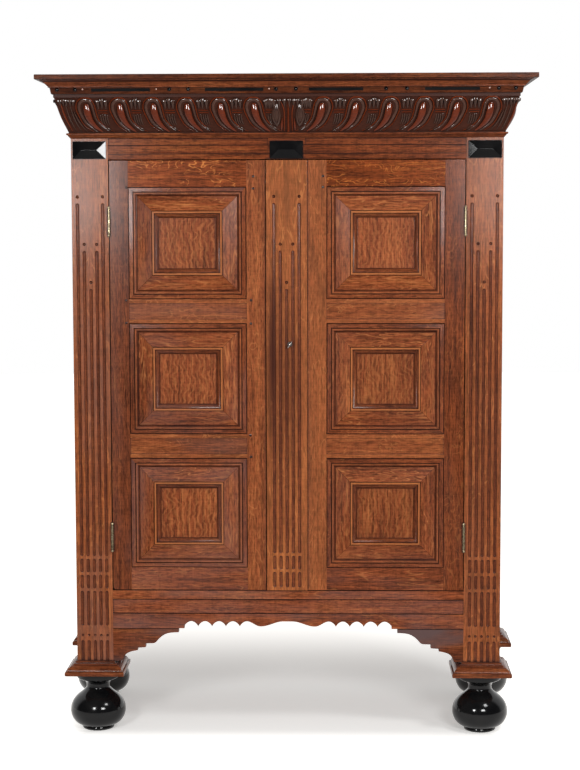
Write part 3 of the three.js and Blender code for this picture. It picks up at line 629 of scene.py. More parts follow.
def polishedBlack(name, roughness, specular, coat):
    material, tree, shader = newMaterial(name)
    add, wire = nodeTools(tree)
    place = add("ShaderNodeTexCoord").outputs["Object"]
    worn = noiseNode(add, wire, place, *blackSettings["noise"])
    dullest = roughness + blackSettings["roughSpan"]
    wire(rampNode(add, wire, worn, *blackSettings["rough"], roughness, dullest), shader.inputs["Roughness"])
    rubbedAndShaded = rampNode(add, wire, worn, *blackSettings["rubbedAndShaded"])
    colour = blendNode(add, wire, rubbedAndShaded, blackSettings["deep"], blackSettings["pale"])
    wire(colour, shader.inputs["Base Color"])
    polish(shader, specular, coat, blackSettings["coatRoughness"])
    return material


metalSettings = {
    "noise": ((90, 90, 90), 4, 0.6), "tarnish": (0.35, 0.7), "rough": (0.3, 0.7), "roughSpan": 0.25,
}


def wornMetal(name, bright, dull, roughness):
    material, tree, shader = newMaterial(name)
    add, wire = nodeTools(tree)
    place = add("ShaderNodeTexCoord").outputs["Object"]
    spots = noiseNode(add, wire, place, *metalSettings["noise"])
    tarnish = rampNode(add, wire, spots, *metalSettings["tarnish"])
    wire(blendNode(add, wire, tarnish, bright, dull), shader.inputs["Base Color"])
    dullest = roughness + metalSettings["roughSpan"]
    wire(rampNode(add, wire, spots, *metalSettings["rough"], roughness, dullest), shader.inputs["Roughness"])
    shader.inputs["Metallic"].default_value = 1.0
    return material


carvedSettings = {
    "noise": ((60, 60, 420), 4, 0.6), "reach": 0.012, "rubbedAndShaded": (0.3, 0.85),
    "breaks": (0.3, 0.7, 0.6, 1.0), "roughness": (0.3, 0.7, 0.32, 0.5), "relief": (0.2, 0.0008),
    "specular": 0.05,
}


# Carved oak is darker in its hollows, a painted shade, and brighter where hands and cloth have polished it
def carvedFinish(name, hollow, proud, coat, coatRoughness):
    material, tree, shader = newMaterial(name)
    add, wire = nodeTools(tree)
    place = add("ShaderNodeTexCoord").outputs["Object"]
    grain = noiseNode(add, wire, place, *carvedSettings["noise"])
    openness = opennessNode(add, carvedSettings["reach"])
    rubbedAndShaded = rampNode(add, wire, openness, *carvedSettings["rubbedAndShaded"])
    breaks = rampNode(add, wire, grain, *carvedSettings["breaks"])
    tone = mathNode(add, wire, "MULTIPLY", rubbedAndShaded, breaks, True)
    wire(blendNode(add, wire, tone, hollow, proud), shader.inputs["Base Color"])
    wire(rampNode(add, wire, grain, *carvedSettings["roughness"]), shader.inputs["Roughness"])
    roughen(add, wire, shader, grain, *carvedSettings["relief"])
    polish(shader, carvedSettings["specular"], coat, coatRoughness)
    return material


# The carved ground is painted dark as the shade in the deep hollows of the carving
carvedGroundShade = carvedFinish("carved ground, painted shade", (0.013, 0.005, 0.0035), (0.056, 0.0175, 0.0105), 0.05, 0.3)
carvedRim = carvedFinish("carved rim", (0.03, 0.007, 0.0035), (0.15, 0.026, 0.0075), 0.4, 0.15)
carvedCove = carvedFinish("carved hollow", (0.012, 0.005, 0.004), (0.080, 0.032, 0.020), 1.0, 0.16)
carvedBody = carvedFinish("carved lobe", (0.018, 0.004, 0.002), (0.135, 0.021, 0.005), 1.0, 0.09)
carvedLeaf = carvedFinish("carved leaf", (0.012, 0.005, 0.004), (0.065, 0.028, 0.018), 1.0, 0.1)
dowelDark = carvedFinish("dowel end", (0.008, 0.004, 0.003), (0.035, 0.013, 0.008), 0.5, 0.15)
footBlack = polishedBlack("ebonised foot", 0.12, 0.12, 0.45)
ebonyBlack = polishedBlack("ebony", 0.08, 0.2, 0.35)
stripBlack = polishedBlack("matt ebony", 0.3, 0.05, 0.1)
brass = wornMetal("worn brass", (0.52, 0.44, 0.28), (0.16, 0.12, 0.07), 0.22)
steel = wornMetal("worn steel", (0.66, 0.64, 0.61), (0.36, 0.34, 0.31), 0.2)
iron = wornMetal("dark iron", (0.12, 0.11, 0.1), (0.05, 0.045, 0.04), 0.45)
# The nails' pale colour is partly a painted highlight on their small heads
paleNail = wornMetal("pale nail", (0.85, 0.66, 0.58), (0.5, 0.25, 0.18), 0.3)


def dress(piece, *materials):
    piece.data.materials.clear()
    for material in materials:
        piece.data.materials.append(material)


# Hands a finished piece over to the body that it rides on, and hides the nodes that it replaces. Its slot is
# not used.
def hand(piece, body, slotName, *nodes):
    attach(piece, body)
    if nodes:
        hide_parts(*nodes)


print("materials ready")

# Feet: one is turned and the others are copies of it

footSettings = {
    "sides": 72, "steps": 3,
    "profile": [
        (0.047, 0.0), (0.052, 0.003), (0.0525, 0.008), (0.051, 0.0125), (0.0585, 0.015), (0.071, 0.021),
        (0.0805, 0.030), (0.0875, 0.042), (0.0912, 0.054), (0.092, 0.065), (0.0905, 0.078),
        (0.0855, 0.092), (0.0775, 0.104), (0.0685, 0.1135), (0.0595, 0.1205), (0.0505, 0.1275),
        (0.0440, 0.1335), (0.0398, 0.1390), (0.0386, 0.1430), (0.0384, 0.1470), (0.0386, 0.1510),
        (0.0393, 0.1545), (0.0412, 0.158), (0.046, 0.1625), (0.0545, 0.1675),
        (0.064, 0.171), (0.0695, 0.1745), (0.0705, 0.179), (0.0705, 0.196)],
}
corners = ["front_left", "front_right", "rear_left", "rear_right"]
firstFoot = None
for corner in corners:
    low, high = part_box("foot_" + corner)
    middle = (low + high) / 2
    if firstFoot is None:
        firstFoot = turnPiece("ball_foot_" + corner, (middle.x, middle.y, 0),
                              easedRun(footSettings["profile"], footSettings["steps"]), footSettings["sides"])
        smooth(firstFoot, 50)
        dress(firstFoot, footBlack)
        firstMiddle = middle
        foot = firstFoot
    else:
        step = middle - firstMiddle
        foot = copyPiece(firstFoot, "ball_foot_" + corner, (step.x, step.y, 0))
    hand(foot, carcase, "ebonised_foot", "foot_" + corner)
print("feet turned")

# Plinth blocks, with a moulded top edge. Their sides have a wood of their own, greyer: a painted sheen.

plinthSettings = {
    "frontSeed": 3, "sideSeed": 7,
    "steps": [(-0.0035, 0), (-0.001, 0.0015), (0, 0.004), (0, 0.0125), (-0.0015, 0.0145), (-0.006, 0.016),
              (-0.0065, 0.0185), (-0.0085, 0.0225), (-0.0115, 0.026), (-0.0155, 0.029), (-0.0205, 0.0315),
              (-0.026, 0.0335), (-0.0265, 0.0375), (-0.031, 0.0385), (-0.032, 0.0415), (-0.032, 0.046)],
}
for index, corner in enumerate(corners):
    low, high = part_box("plinth_block_" + corner)
    block = stepPiece("plinth_" + corner, low, high[:2], plinthSettings["steps"])
    smooth(block, 28)
    dress(block, oak("x", plinthSettings["frontSeed"] + index, flecks=0.2, depth=0.3, gloss=0.2),
          oak("y", plinthSettings["sideSeed"] + index, flecks=0.2, dustAndSheen=0.4, depth=0.2, gloss=0.6))
    paintFaces(block, 1, lambda centre, normal: abs(normal.x) > abs(normal.y) and abs(normal.x) > 0.1)
    hand(block, carcase, "oak", "plinth_block_" + corner)
print("plinths stepped")

# Flutes: one round-ended cutter for each run, from the same settings on all three pilasters. A
# drop is from the top of the case to the top of a flute, with a turned dot above it.

fluteSettings = {
    "pitch": 0.0205, "radius": 0.0055, "sunkShare": 0.8, "drops": [0.209, 0.363, 0.487, 0.363, 0.209],
    "bridge": 0.008, "dotRadius": 0.0052, "dotRise": 0.021, "dotInset": 0.0012, "dotSides": 10,
    "dotShape": [(0.0028, -0.0045), (0.0028, -0.0004), (0.0020, 0.0006), (0.0006, 0.0010)],
    "footDotRise": 0.086, "footDotRadius": 0.0044, "footOverrun": 0.01,
    "paintFrom": 0.0006, "paintTo": 0.010,
}


def addRunCutter(x, y, bottom, top, radius):
    clearSelection()
    bpy.ops.mesh.primitive_uv_sphere_add(
        segments=16, ring_count=9, radius=radius, location=(x, y, bottom + radius))
    cutter = settle(named("flute_cutter"))
    startEdit(cutter)
    selectPoints(cutter, lambda place: place.z > bottom + radius)
    bpy.ops.transform.translate(value=(0, 0, top - bottom - 2 * radius))
    bpy.ops.mesh.select_all(action="SELECT")
    bpy.ops.transform.resize(value=(1, fluteSettings["sunkShare"], 1), center_override=(x, y, bottom))
    endEdit()
    return cutter


def addDotCutter(x, y, z, radius):
    return addRunCutter(x, y, z - radius, z + radius, radius)


# A flute runs down from its drop, past bridges at the stops, to its end. The foot of a flute, if
# it has one, is from and to a level.
def cutFlutes(piece, centreX, y, stops, end, flutedFoot=None):
    radius = fluteSettings["radius"]
    drops = fluteSettings["drops"]
    cutters = []
    dots = []
    for i, drop in enumerate(drops):
        x = centreX + (i - len(drops) // 2) * fluteSettings["pitch"]
        tops = [caseTop - drop] + [stop - fluteSettings["bridge"] for stop in stops]
        for top, bottom in zip(tops, stops + [end]):
            cutters.append(addRunCutter(x, y, bottom, top, radius))
        dotZ = caseTop - drop + fluteSettings["dotRise"]
        cutters.append(addDotCutter(x, y, dotZ, fluteSettings["dotRadius"]))
        place = (x, y + fluteSettings["dotInset"], dotZ)
        dots.append(turnButton("dot", fluteSettings["dotShape"], place, 0.0, fluteSettings["dotSides"]))
        if flutedFoot:
            foot, footTop = flutedFoot
            cutters.append(addRunCutter(x, y, foot - fluteSettings["footOverrun"], footTop, radius))
            dotZ = foot + fluteSettings["footDotRise"]
            cutters.append(addDotCutter(x, y, dotZ, fluteSettings["footDotRadius"]))
    cutWith(piece, joinPieces("flute_cutters", cutters))
    return joinPieces(piece.name + "_dots", dots)


# True inside the flutes of a face, which get the second, darker wood: a painted shade in the channels
def insideFlute(centre, front):
    return front + fluteSettings["paintFrom"] < centre.y < front + fluteSettings["paintTo"]


stileSettings = {
    "firstStop": 0.351, "stopPitch": 0.054, "stops": 3, "end": 0.118, "footTop": 0.069, "edge": 0.0007,
    # The left stile gets more grey film: a painted sheen
    "seeds": {"left": 11, "right": 12}, "dustAndSheen": {"left": 0.4, "right": 0.1},
}
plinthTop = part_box("plinth_block_front_left")[1].z
for side, seed in stileSettings["seeds"].items():
    low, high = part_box("corner_stile_" + side)
    stile = addBox("fluted_stile_" + side, low, high)
    first = plinthTop + stileSettings["firstStop"]
    stops = [first - i * stileSettings["stopPitch"] for i in range(stileSettings["stops"])]
    dots = cutFlutes(stile, (low.x + high.x) / 2, low.y, stops, plinthTop + stileSettings["end"],
                     (plinthTop, plinthTop + stileSettings["footTop"]))
    dress(dots, oak("z", seed, depth=0.2, gloss=0.4))
    hand(dots, carcase, "oak")
    bevelEdges(stile, stileSettings["edge"])
    smooth(stile, 30)
    dustAndSheen = stileSettings["dustAndSheen"][side]
    dress(stile, oak("z", seed, flecks=0.5, length=5, dustAndSheen=dustAndSheen, wear=0.12, gloss=0.14),
          oak("z", seed, flecks=0.1, depth=0.22, gloss=0.25))
    paintFaces(stile, 1, lambda centre, normal: insideFlute(centre, low.y))
    hand(stile, carcase, "oak", "corner_stile_" + side)

pilasterSettings = {
    "firstStop": 0.124, "stopPitch": 0.054, "stops": 2, "end": 0.010, "edge": 0.0006, "seed": 13,
    "stains": ((-0.049, 1.27, 0.023, 0.48, 0.9), (0.002, 1.17, 0.075, 0.42, 0.5)), "paintAside": 0.05,
}
low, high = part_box("centre_pilaster")
pilasterX = (low.x + high.x) / 2
pilaster = addBox("fluted_centre_pilaster", low, high)
seed, stains = pilasterSettings["seed"], pilasterSettings["stains"]
first = low.z + pilasterSettings["firstStop"]
stops = [first - i * pilasterSettings["stopPitch"] for i in range(pilasterSettings["stops"])]
dots = cutFlutes(pilaster, pilasterX, low.y, stops, low.z + pilasterSettings["end"])
dress(dots, oak("z", seed, depth=0.2, gloss=0.4))
hand(dots, doorBodies["right"], "oak")
bevelEdges(pilaster, pilasterSettings["edge"])
smooth(pilaster, 30)
# Its wear is raised, partly a painted highlight on its upper part
dress(pilaster, oak("z", seed, flecks=0.6, length=5, wear=0.22, stains=stains),
      oak("z", seed, flecks=0.1, depth=0.15, gloss=0.3, stains=stains))
paintFaces(pilaster, 1, lambda centre, normal: (
    insideFlute(centre, low.y) and abs(centre.x - pilasterX) < pilasterSettings["paintAside"]))
hand(pilaster, doorBodies["right"], "oak", "centre_pilaster")
print("pilasters fluted")

# Door panels: mitred mouldings inset one after another into the front of a block. Each step goes
# in by a width and out by a height.

panelSettings = {
    "back": 0.028, "tongue": 0.008, "mitre": {"least": 0.02, "even": 0.0001, "cut": 0.0005}, "seed": 20,
    # The left door's panels get more grey film: a painted sheen
    "dustAndSheen": {"left": 0.35, "right": 0.1},
    "shade": {"right_door_lower_panel": 0.2, "right_door_middle_panel": 0.2},
    "steps": [
        (0.0020, -0.0016, "shadeAndJoints"), (0.0008, 0.0044, "plain"), (0.0098, 0.0008, "plain"),
        (0.0022, 0.0002, "plain"), (0.0010, -0.0022, "shadeAndJoints"), (0.0016, 0.0, "shadeAndJoints"),
        (0.0012, 0.0022, "rubbedAndShaded"), (0.0044, 0.0, "rubbedAndShaded"), (0.0012, -0.0010, "plain"),
        (0.0016, -0.0026, "plain"), (0.0034, -0.0012, "shadeAndJoints"), (0.0012, 0.0008, "shadeAndJoints"),
        (0.0465, 0.0115, "band"), (0.0014, -0.0018, "shadeAndJoints"), (0.0006, 0.0040, "plain"),
        (0.0008, 0.0008, "worn"), (0.0048, 0.0, "worn"), (0.0008, -0.0006, "plain"),
        (0.0012, -0.0038, "shadeAndJoints"), (0.0012, -0.0004, "shadeAndJoints"), (0.0034, -0.0008, "shadedCove"),
        (0.0034, -0.0022, "shadedCove"), (0.0028, -0.0030, "shadedCove"), (0.0012, -0.0026, "shadedCove"),
        (0.0022, -0.0010, "shadeAndJoints")],
}

# Each finish has two slots, for the mouldings along the rails and for those along the stiles. The
# field in the middle has one. A finish that names no grey film gets the panel's. The darkest finish is a
# painted shade in the grooves and also darkens the mitre joints, and the cove's darker wood is a
# painted shade in the cove.
panelFinishes = {
    "plain": dict(flecks=0.3, depth=0.15),
    "shadeAndJoints": dict(flecks=0.0, depth=0.6, gloss=0.1, dustAndSheen=0.0),
    "worn": dict(flecks=0.3, wear=0.4),
    "rubbedAndShaded": dict(flecks=0.3, wear=0.1, gloss=0.2),
    "band": dict(flecks=0.6, length=4, width=30, waves=0.16, depth=0.04, gloss=0.07),
    "shadedCove": dict(flecks=0.2, depth=0.3),
}
panelSlots = {finish: 2 * index for index, finish in enumerate([*panelFinishes, "field"])}
seedsPerPanel = 3


def panelWoods(seed, dustAndSheen, shade=0.0, rail="x"):
    woods = []
    for finish in panelFinishes.values():
        looks = {"dustAndSheen": dustAndSheen, **finish}
        woods += [oak(rail, seed, **looks), oak("z", seed + 1, **looks)]
    woods.append(oak("z", seed + 2, flecks=0.25, length=4, width=30, waves=0.34, depth=shade))
    return woods


# The panel is made facing the front with the middle of its frame's face at the origin
def makePanel(name, width, height, settings, woods):
    half = (width / 2 - panelSettings["tongue"], height / 2 - panelSettings["tongue"])
    mitre = panelSettings["mitre"]
    board = addBox(name, (-half[0], 0, -half[1]), (half[0], settings["back"], half[1]))
    dress(board, *woods)
    startEdit(board)
    selectFaces(board, lambda centre, normal: normal.y < -0.9)
    for thickness, rise, finish in settings["steps"]:
        board.active_material_index = panelSlots[finish]
        bpy.ops.object.material_slot_assign()
        bpy.ops.mesh.inset(thickness=thickness, depth=rise, use_even_offset=True)
    board.active_material_index = panelSlots["field"]
    bpy.ops.object.material_slot_assign()
    selectEdges(board, lambda run: (
        abs(run.x) > mitre["least"] and abs(abs(run.x) - abs(run.z)) < mitre["even"]))
    bpy.ops.mesh.bevel(offset_type="OFFSET", offset=mitre["cut"], segments=1, affect="EDGES",
                       material=panelSlots["shadeAndJoints"])
    endEdit()
    for face in board.data.polygons:
        aside = abs(face.center.x) - width / 2
        above = abs(face.center.z) - height / 2
        if aside > above and face.material_index < panelSlots["field"]:
            face.material_index += 1
    paintFaces(board, panelSlots["field"], lambda centre, normal: normal.y > 0.9)
    smooth(board, 25)
    return board


def placePanel(panel, place, turn=0):
    panel.location = place
    panel.rotation_euler = (0, 0, turn)
    return settle(panel)


seed = panelSettings["seed"]
for side in ("left", "right"):
    for row in ("lower", "middle", "upper"):
        node = f"{side}_door_{row}_panel"
        low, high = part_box(node)
        woods = panelWoods(seed, panelSettings["dustAndSheen"][side], panelSettings["shade"].get(node, 0.0))
        panel = makePanel(f"{side}_{row}_panel", high.x - low.x, high.z - low.z, panelSettings, woods)
        placePanel(panel, ((low.x + high.x) / 2, faceY, (low.z + high.z) / 2))
        hand(panel, doorBodies[side], "oak", node)
        seed += seedsPerPanel
print("panels moulded")

# Door rails: the two between panels have a sunk band between two raised strips

railSettings = {
    "strip": 0.013, "sunk": 0.0025, "edge": 0.0006, "seed": 90, "banded": ("lower", "upper"),
    "looks": {
        "left_top": dict(flecks=1.1, length=12, gloss=0.06, depth=0.08, warmth=0.5),
        "right_top": dict(flecks=0.9, length=12, gloss=0.06, depth=0.32, warmth=1.0),
        "upper": dict(flecks=0.5, length=12, depth=0.14),
        "lower": dict(flecks=0.4, wear=0.16, dustAndSheen=0.1),
        "bottom": dict(flecks=0.4, length=5, dustAndSheen=0.25)},
    "stripLooks": dict(flecks=0.5, wear=0.12),
    "bandLooks": dict(flecks=0.4, length=12, dustAndSheen=0.32, wear=0.06, depth=0.09),
}


def makeRail(name, low, high, seed, banded, looks):
    board = addBox(name, low, high)
    bandFoot, bandTop = low[2] + railSettings["strip"], high[2] - railSettings["strip"]
    if banded:
        startEdit(board)
        for level in (bandFoot, bandTop):
            bpy.ops.mesh.select_all(action="SELECT")
            bpy.ops.mesh.bisect(plane_co=(0, 0, level), plane_no=(0, 0, 1))
        selectFaces(board, lambda centre, normal: normal.y < -0.9 and bandFoot < centre.z < bandTop)
        bpy.ops.mesh.extrude_region_move(TRANSFORM_OT_translate={"value": (0, railSettings["sunk"], 0)})
        endEdit()
    bevelEdges(board, railSettings["edge"])
    smooth(board, 30)
    dress(board, oak("x", seed, **looks), oak("x", seed, **railSettings["stripLooks"]),
          oak("x", seed, **railSettings["bandLooks"]))
    if banded:
        halfSunk = low[1] + railSettings["sunk"] / 2
        paintFaces(board, 1, lambda centre, normal: normal.y < -0.9 and centre.y < halfSunk)
        paintFaces(board, 2, lambda centre, normal: normal.y < -0.9 and centre.y > halfSunk)
    return board


seed = railSettings["seed"]
for side in ("left", "right"):
    panelLow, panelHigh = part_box(f"{side}_door_lower_panel")
    edges = (panelLow.x + panelSettings["tongue"], panelHigh.x - panelSettings["tongue"])
    for rail in ("bottom", "lower", "upper", "top"):
        node = f"{side}_door_{rail}_rail"
        low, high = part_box(node)
        looks = railSettings["looks"].get(f"{side}_{rail}") or railSettings["looks"][rail]
        board = makeRail(f"{side}_{rail}_rail", (edges[0], low.y, low.z), (edges[1], high.y, high.z), seed,
                         rail in railSettings["banded"], looks)
        hand(board, doorBodies[side], "oak", node)
        seed += 1

# Hinge stiles: each has its lower outer corner rounded, the left one more

hingeStileSettings = {
    "edge": 0.0008, "roundSteps": 6, "rounding": {"left": 0.009, "right": 0.002},
    "seeds": {"left": 86, "right": 87},
    # The left stile's heavier grey film is partly a painted sheen
    "looks": {"left": dict(flecks=0.2, dustAndSheen=0.25, depth=0.3),
              "right": dict(flecks=0.3, dustAndSheen=0.1, depth=0.27, warmth=0.3)},
}
for side, sign in (("left", -1), ("right", 1)):
    low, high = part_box(f"{side}_door_hinge_stile")
    outer, inner = (low.x, high.x) if sign < 0 else (high.x, low.x)
    rounding, steps = hingeStileSettings["rounding"][side], hingeStileSettings["roundSteps"]
    outline = [(inner, low.z), (inner, high.z), (outer, high.z)]
    for step in range(steps + 1):
        turn = math.pi / 2 * step / steps
        outline.append((outer - sign * rounding * (1 - math.cos(turn)),
                        low.z + rounding * (1 - math.sin(turn))))
    stile = sawBoard(side + "_hinge_stile", outline, low.y, high.y)
    bevelEdges(stile, hingeStileSettings["edge"])
    smooth(stile, 30)
    dress(stile, oak("z", hingeStileSettings["seeds"][side], **hingeStileSettings["looks"][side]))
    hand(stile, doorBodies[side], "oak", f"{side}_door_hinge_stile")
print("rails and stiles made")

# Base rail, sawn to scallops and a wave, with its sunk band, and the brackets below its ends. The
# wave is a place across and a share of the rise. A quirk starts a drop below the band's top, and
# has its own height.

baseSettings = {
    "bracketEnd": 0.362, "start": 0.343, "step": 0.010, "cusp": 0.007, "rise": 0.017, "count": 4,
    "fullness": 0.75, "wave": [(0.136, 1), (0.090, 0), (0.014, 1)], "arcSteps": 14,
    "bandTop": 0.028, "bandHeight": 0.050, "bandDepth": 0.004, "quirkDepth": 0.0085,
    "quirks": [(0.0032, 0.0032), (0.050, 0.0018)], "edge": 0.0012,
    "bandPaint": (0.003, 0.005), "quirkPaint": (0.005, 0.012), "seed": 71, "bandSeed": 74,
}


def baseOutline(low, high):
    foot = low.z
    cusp = foot + baseSettings["cusp"]
    rise = baseSettings["rise"]
    steps = baseSettings["arcSteps"]
    start, scallops = baseSettings["start"], baseSettings["count"] + 0.5
    half = [(baseSettings["bracketEnd"], foot), (start, foot), (start, foot + baseSettings["step"])]
    pitch = (start - baseSettings["wave"][0][0]) / scallops
    for i in range(int(scallops * steps)):
        share = (i + 1) / steps
        arc = abs(math.sin(math.pi * share)) ** baseSettings["fullness"]
        half.append((start - share * pitch, cusp + rise * arc))
    for (fromX, fromLevel), (toX, toLevel) in zip(baseSettings["wave"], baseSettings["wave"][1:]):
        for i in range(steps):
            share = (i + 1) / steps
            level = fromLevel + (toLevel - fromLevel) * (1 - math.cos(math.pi * share)) / 2
            half.append((fromX + (toX - fromX) * share, cusp + rise * level))
    right = [(halfDoorway, high.z), (halfDoorway, foot)] + half
    return right + [(-x, z) for x, z in reversed(right)]


grooveReach = 1.0  # from the middle, past both ends of every grooved board


def addGrooveCutter(name, front, depth, bottom, top):
    return addBox(name, (-grooveReach, front - overrun, bottom), (grooveReach, front + depth, top))


low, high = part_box("base_rail")
baseRail = sawBoard("scalloped_base_rail", baseOutline(low, high), low.y, high.y)
bandTop = high.z - baseSettings["bandTop"]
cutWith(baseRail, addGrooveCutter("band_cutter", low.y, baseSettings["bandDepth"],
                                  bandTop - baseSettings["bandHeight"], bandTop))
for drop, tall in baseSettings["quirks"]:
    cutWith(baseRail, addGrooveCutter("quirk_cutter", low.y, baseSettings["quirkDepth"],
                                      bandTop - drop, bandTop - drop + tall))
bevelEdges(baseRail, baseSettings["edge"])
smooth(baseRail, 30)
dress(baseRail, oak("x", baseSettings["seed"], flecks=0.35, length=7, dustAndSheen=0.5),
      oak("x", baseSettings["seed"], flecks=0.0, depth=0.8),
      oak("x", baseSettings["bandSeed"], flecks=0.2, dustAndSheen=0.3))
# The faces in the quirks get the almost black wood, a painted shade in the grooves, and the sunk band a
# greyer one
for slotIndex, (fromDepth, toDepth) in ((1, baseSettings["quirkPaint"]), (2, baseSettings["bandPaint"])):
    paintFaces(baseRail, slotIndex, lambda centre, normal: low.y + fromDepth < centre.y < low.y + toDepth)
hand(baseRail, carcase, "oak", "base_rail")

# The outline of a bracket, in shares of its width from the outer end and of its height
bracketShares = [
    (0.142, 0), (0.150, 0.05), (0.162, 0.11), (0.178, 0.165), (0.2, 0.212), (0.229, 0.248), (0.262, 0.274),
    (0.3, 0.295), (0.34, 0.311), (0.372, 0.322), (0.372, 0.398), (0.435, 0.405), (0.495, 0.416),
    (0.495, 0.531), (0.56, 0.533), (0.615, 0.537), (0.645, 0.562), (0.67, 0.61), (0.69, 0.66),
    (0.718, 0.712), (0.75, 0.765), (0.79, 0.812), (0.83, 0.843), (0.88, 0.862), (0.94, 0.872),
    (1, 0.876), (1, 1)]
bracketSettings = {"seamDepth": 0.006, "seam": 0.002, "edge": 0.0012, "seeds": {"left": 72, "right": 73}}
for side, sign in (("left", -1), ("right", 1)):
    low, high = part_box("bracket_" + side)
    width, tall = high.x - low.x, high.z - low.z
    outline = [(sign * halfDoorway, high.z), (sign * halfDoorway, low.z)]
    outline += [(sign * (halfDoorway - u * width), low.z + v * tall) for u, v in bracketShares]
    bracket = sawBoard("bracket_board_" + side, outline, low.y, high.y)
    cutWith(bracket, addGrooveCutter("seam_cutter", low.y, bracketSettings["seamDepth"],
                                     high.z - bracketSettings["seam"], high.z + overrun))
    bevelEdges(bracket, bracketSettings["edge"])
    smooth(bracket, 30)
    dress(bracket, oak("x", bracketSettings["seeds"][side], flecks=0.0, depth=0.34, dustAndSheen=1.3))
    hand(bracket, carcase, "oak", "bracket_" + side)
print("base sawn")

# Sides: stiles, rails and raised panels outside, and the cleats of the shelves inside

sideSettings = {
    "stile": 0.062, "thickness": 0.030, "edge": 0.0006, "cleat": (0.020, 0.030), "cleatGap": 0.020,
    "cleatEdge": 0.001, "board": 0.020, "dustAndSheen": 0.15, "seeds": {"left": 120, "right": 140},
    "panel": {"back": 0.020, "steps": [
        (0.0014, -0.0010, "shadeAndJoints"), (0.0035, -0.0012, "plain"), (0.0035, -0.0024, "shadedCove"),
        (0.0030, -0.0036, "shadedCove"), (0.0014, -0.0008, "shadeAndJoints"), (0.0040, 0.0, "plain"),
        (0.0012, -0.0004, "shadeAndJoints"), (0.0360, 0.0052, "band"), (0.0012, -0.0010, "shadeAndJoints"),
        (0.0010, 0.0018, "worn")]},
}
panelLevels = []
for row in ("lower", "middle", "upper"):
    low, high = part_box(f"left_door_{row}_panel")
    panelLevels.append((low.z + panelSettings["tongue"], high.z - panelSettings["tongue"]))
shelfTops = [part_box(name)[1].z for name in ("floor_board", "shelf_lower", "shelf_upper")]
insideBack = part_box("shelf_lower")[1].y


def makeSide(side, sign):
    low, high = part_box("side_frame_" + side)
    seed = sideSettings["seeds"][side]
    outer = sign * halfCase
    inner = sign * (halfCase - sideSettings["thickness"])
    frontEdge, backEdge = low.y + sideSettings["stile"], high.y - sideSettings["stile"]
    parts = []

    def addBoard(label, y, z, grain, boardSeed, flecks):
        near, far = min(inner, outer), max(inner, outer)
        board = addBox(f"side_{side}_{label}", (near, y[0], z[0]), (far, y[1], z[1]))
        bevelEdges(board, sideSettings["edge"])
        smooth(board, 30)
        dress(board, oak(grain, boardSeed, flecks=flecks))
        parts.append(board)

    addBoard("front_stile", (low.y, frontEdge), (low.z, high.z), "z", seed, 0.3)
    addBoard("rear_stile", (backEdge, high.y), (low.z, high.z), "z", seed + 1, 0.3)
    edges = [low.z] + [level for pair in panelLevels for level in pair] + [high.z]
    railSeed = seed + 2
    for row in range(len(panelLevels) + 1):
        addBoard(f"rail_{row + 1}", (frontEdge, backEdge), (edges[2 * row], edges[2 * row + 1]), "y",
                 railSeed + row, 0.4)
    tongues = 2 * panelSettings["tongue"]
    width = backEdge - frontEdge + tongues
    panelSeed = railSeed + len(panelLevels) + 1
    for row, (bottom, top) in enumerate(panelLevels):
        woods = panelWoods(panelSeed + seedsPerPanel * row, sideSettings["dustAndSheen"], rail="y")
        panel = makePanel(f"side_{side}_panel_{row + 1}", width, top - bottom + tongues,
                          sideSettings["panel"], woods)
        placePanel(panel, (outer, (frontEdge + backEdge) / 2, (bottom + top) / 2), sign * math.pi / 2)
        parts.append(panel)
    cleatWidth, cleatHeight = sideSettings["cleat"]
    cleatSeed = panelSeed + seedsPerPanel * len(panelLevels)
    cleatEdge = inner - sign * cleatWidth
    for row, level in enumerate(shelfTops):
        top = level - sideSettings["board"]
        cleat = addBox(f"side_{side}_cleat_{row + 1}",
                       (min(inner, cleatEdge), low.y + sideSettings["cleatGap"], top - cleatHeight),
                       (max(inner, cleatEdge), insideBack - sideSettings["cleatGap"], top))
        bevelEdges(cleat, sideSettings["cleatEdge"])
        dress(cleat, oak("y", cleatSeed, dustAndSheen=0.3, gloss=0.0))
        parts.append(cleat)
    for piece in parts:
        hand(piece, carcase, "oak", "side_frame_" + side)


makeSide("left", -1)
makeSide("right", 1)
print("sides framed")

# Ebony blocks, cut to a hipped point in front

ebonySettings = {"edge": 0.0032, "ridge": 0.0001}
for place in ("left", "centre", "right"):
    low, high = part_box("ebony_block_" + place)
    edge = high.y - ebonySettings["edge"]
    block = addBox("hipped_ebony_" + place, (low.x, edge, low.z), high)
    startEdit(block)
    selectFaces(block, lambda centre, normal: normal.y < -0.9)
    bpy.ops.mesh.inset(thickness=(high.z - low.z - ebonySettings["ridge"]) / 2, depth=edge - low.y,
                       use_even_offset=True)
    endEdit()
    dress(block, ebonyBlack)
    hand(block, carcase, "ebony", "ebony_block_" + place)
print("ebony blocks cut")

# Cornice: each moulding is stepped up round three sides, then sliced at the mitres. The ground of the
# frieze is painted dark as the shade of its deep carving, and faces that look down are painted with the
# same shade. The band and the top edge of the crown are painted darker, but not the cove between.

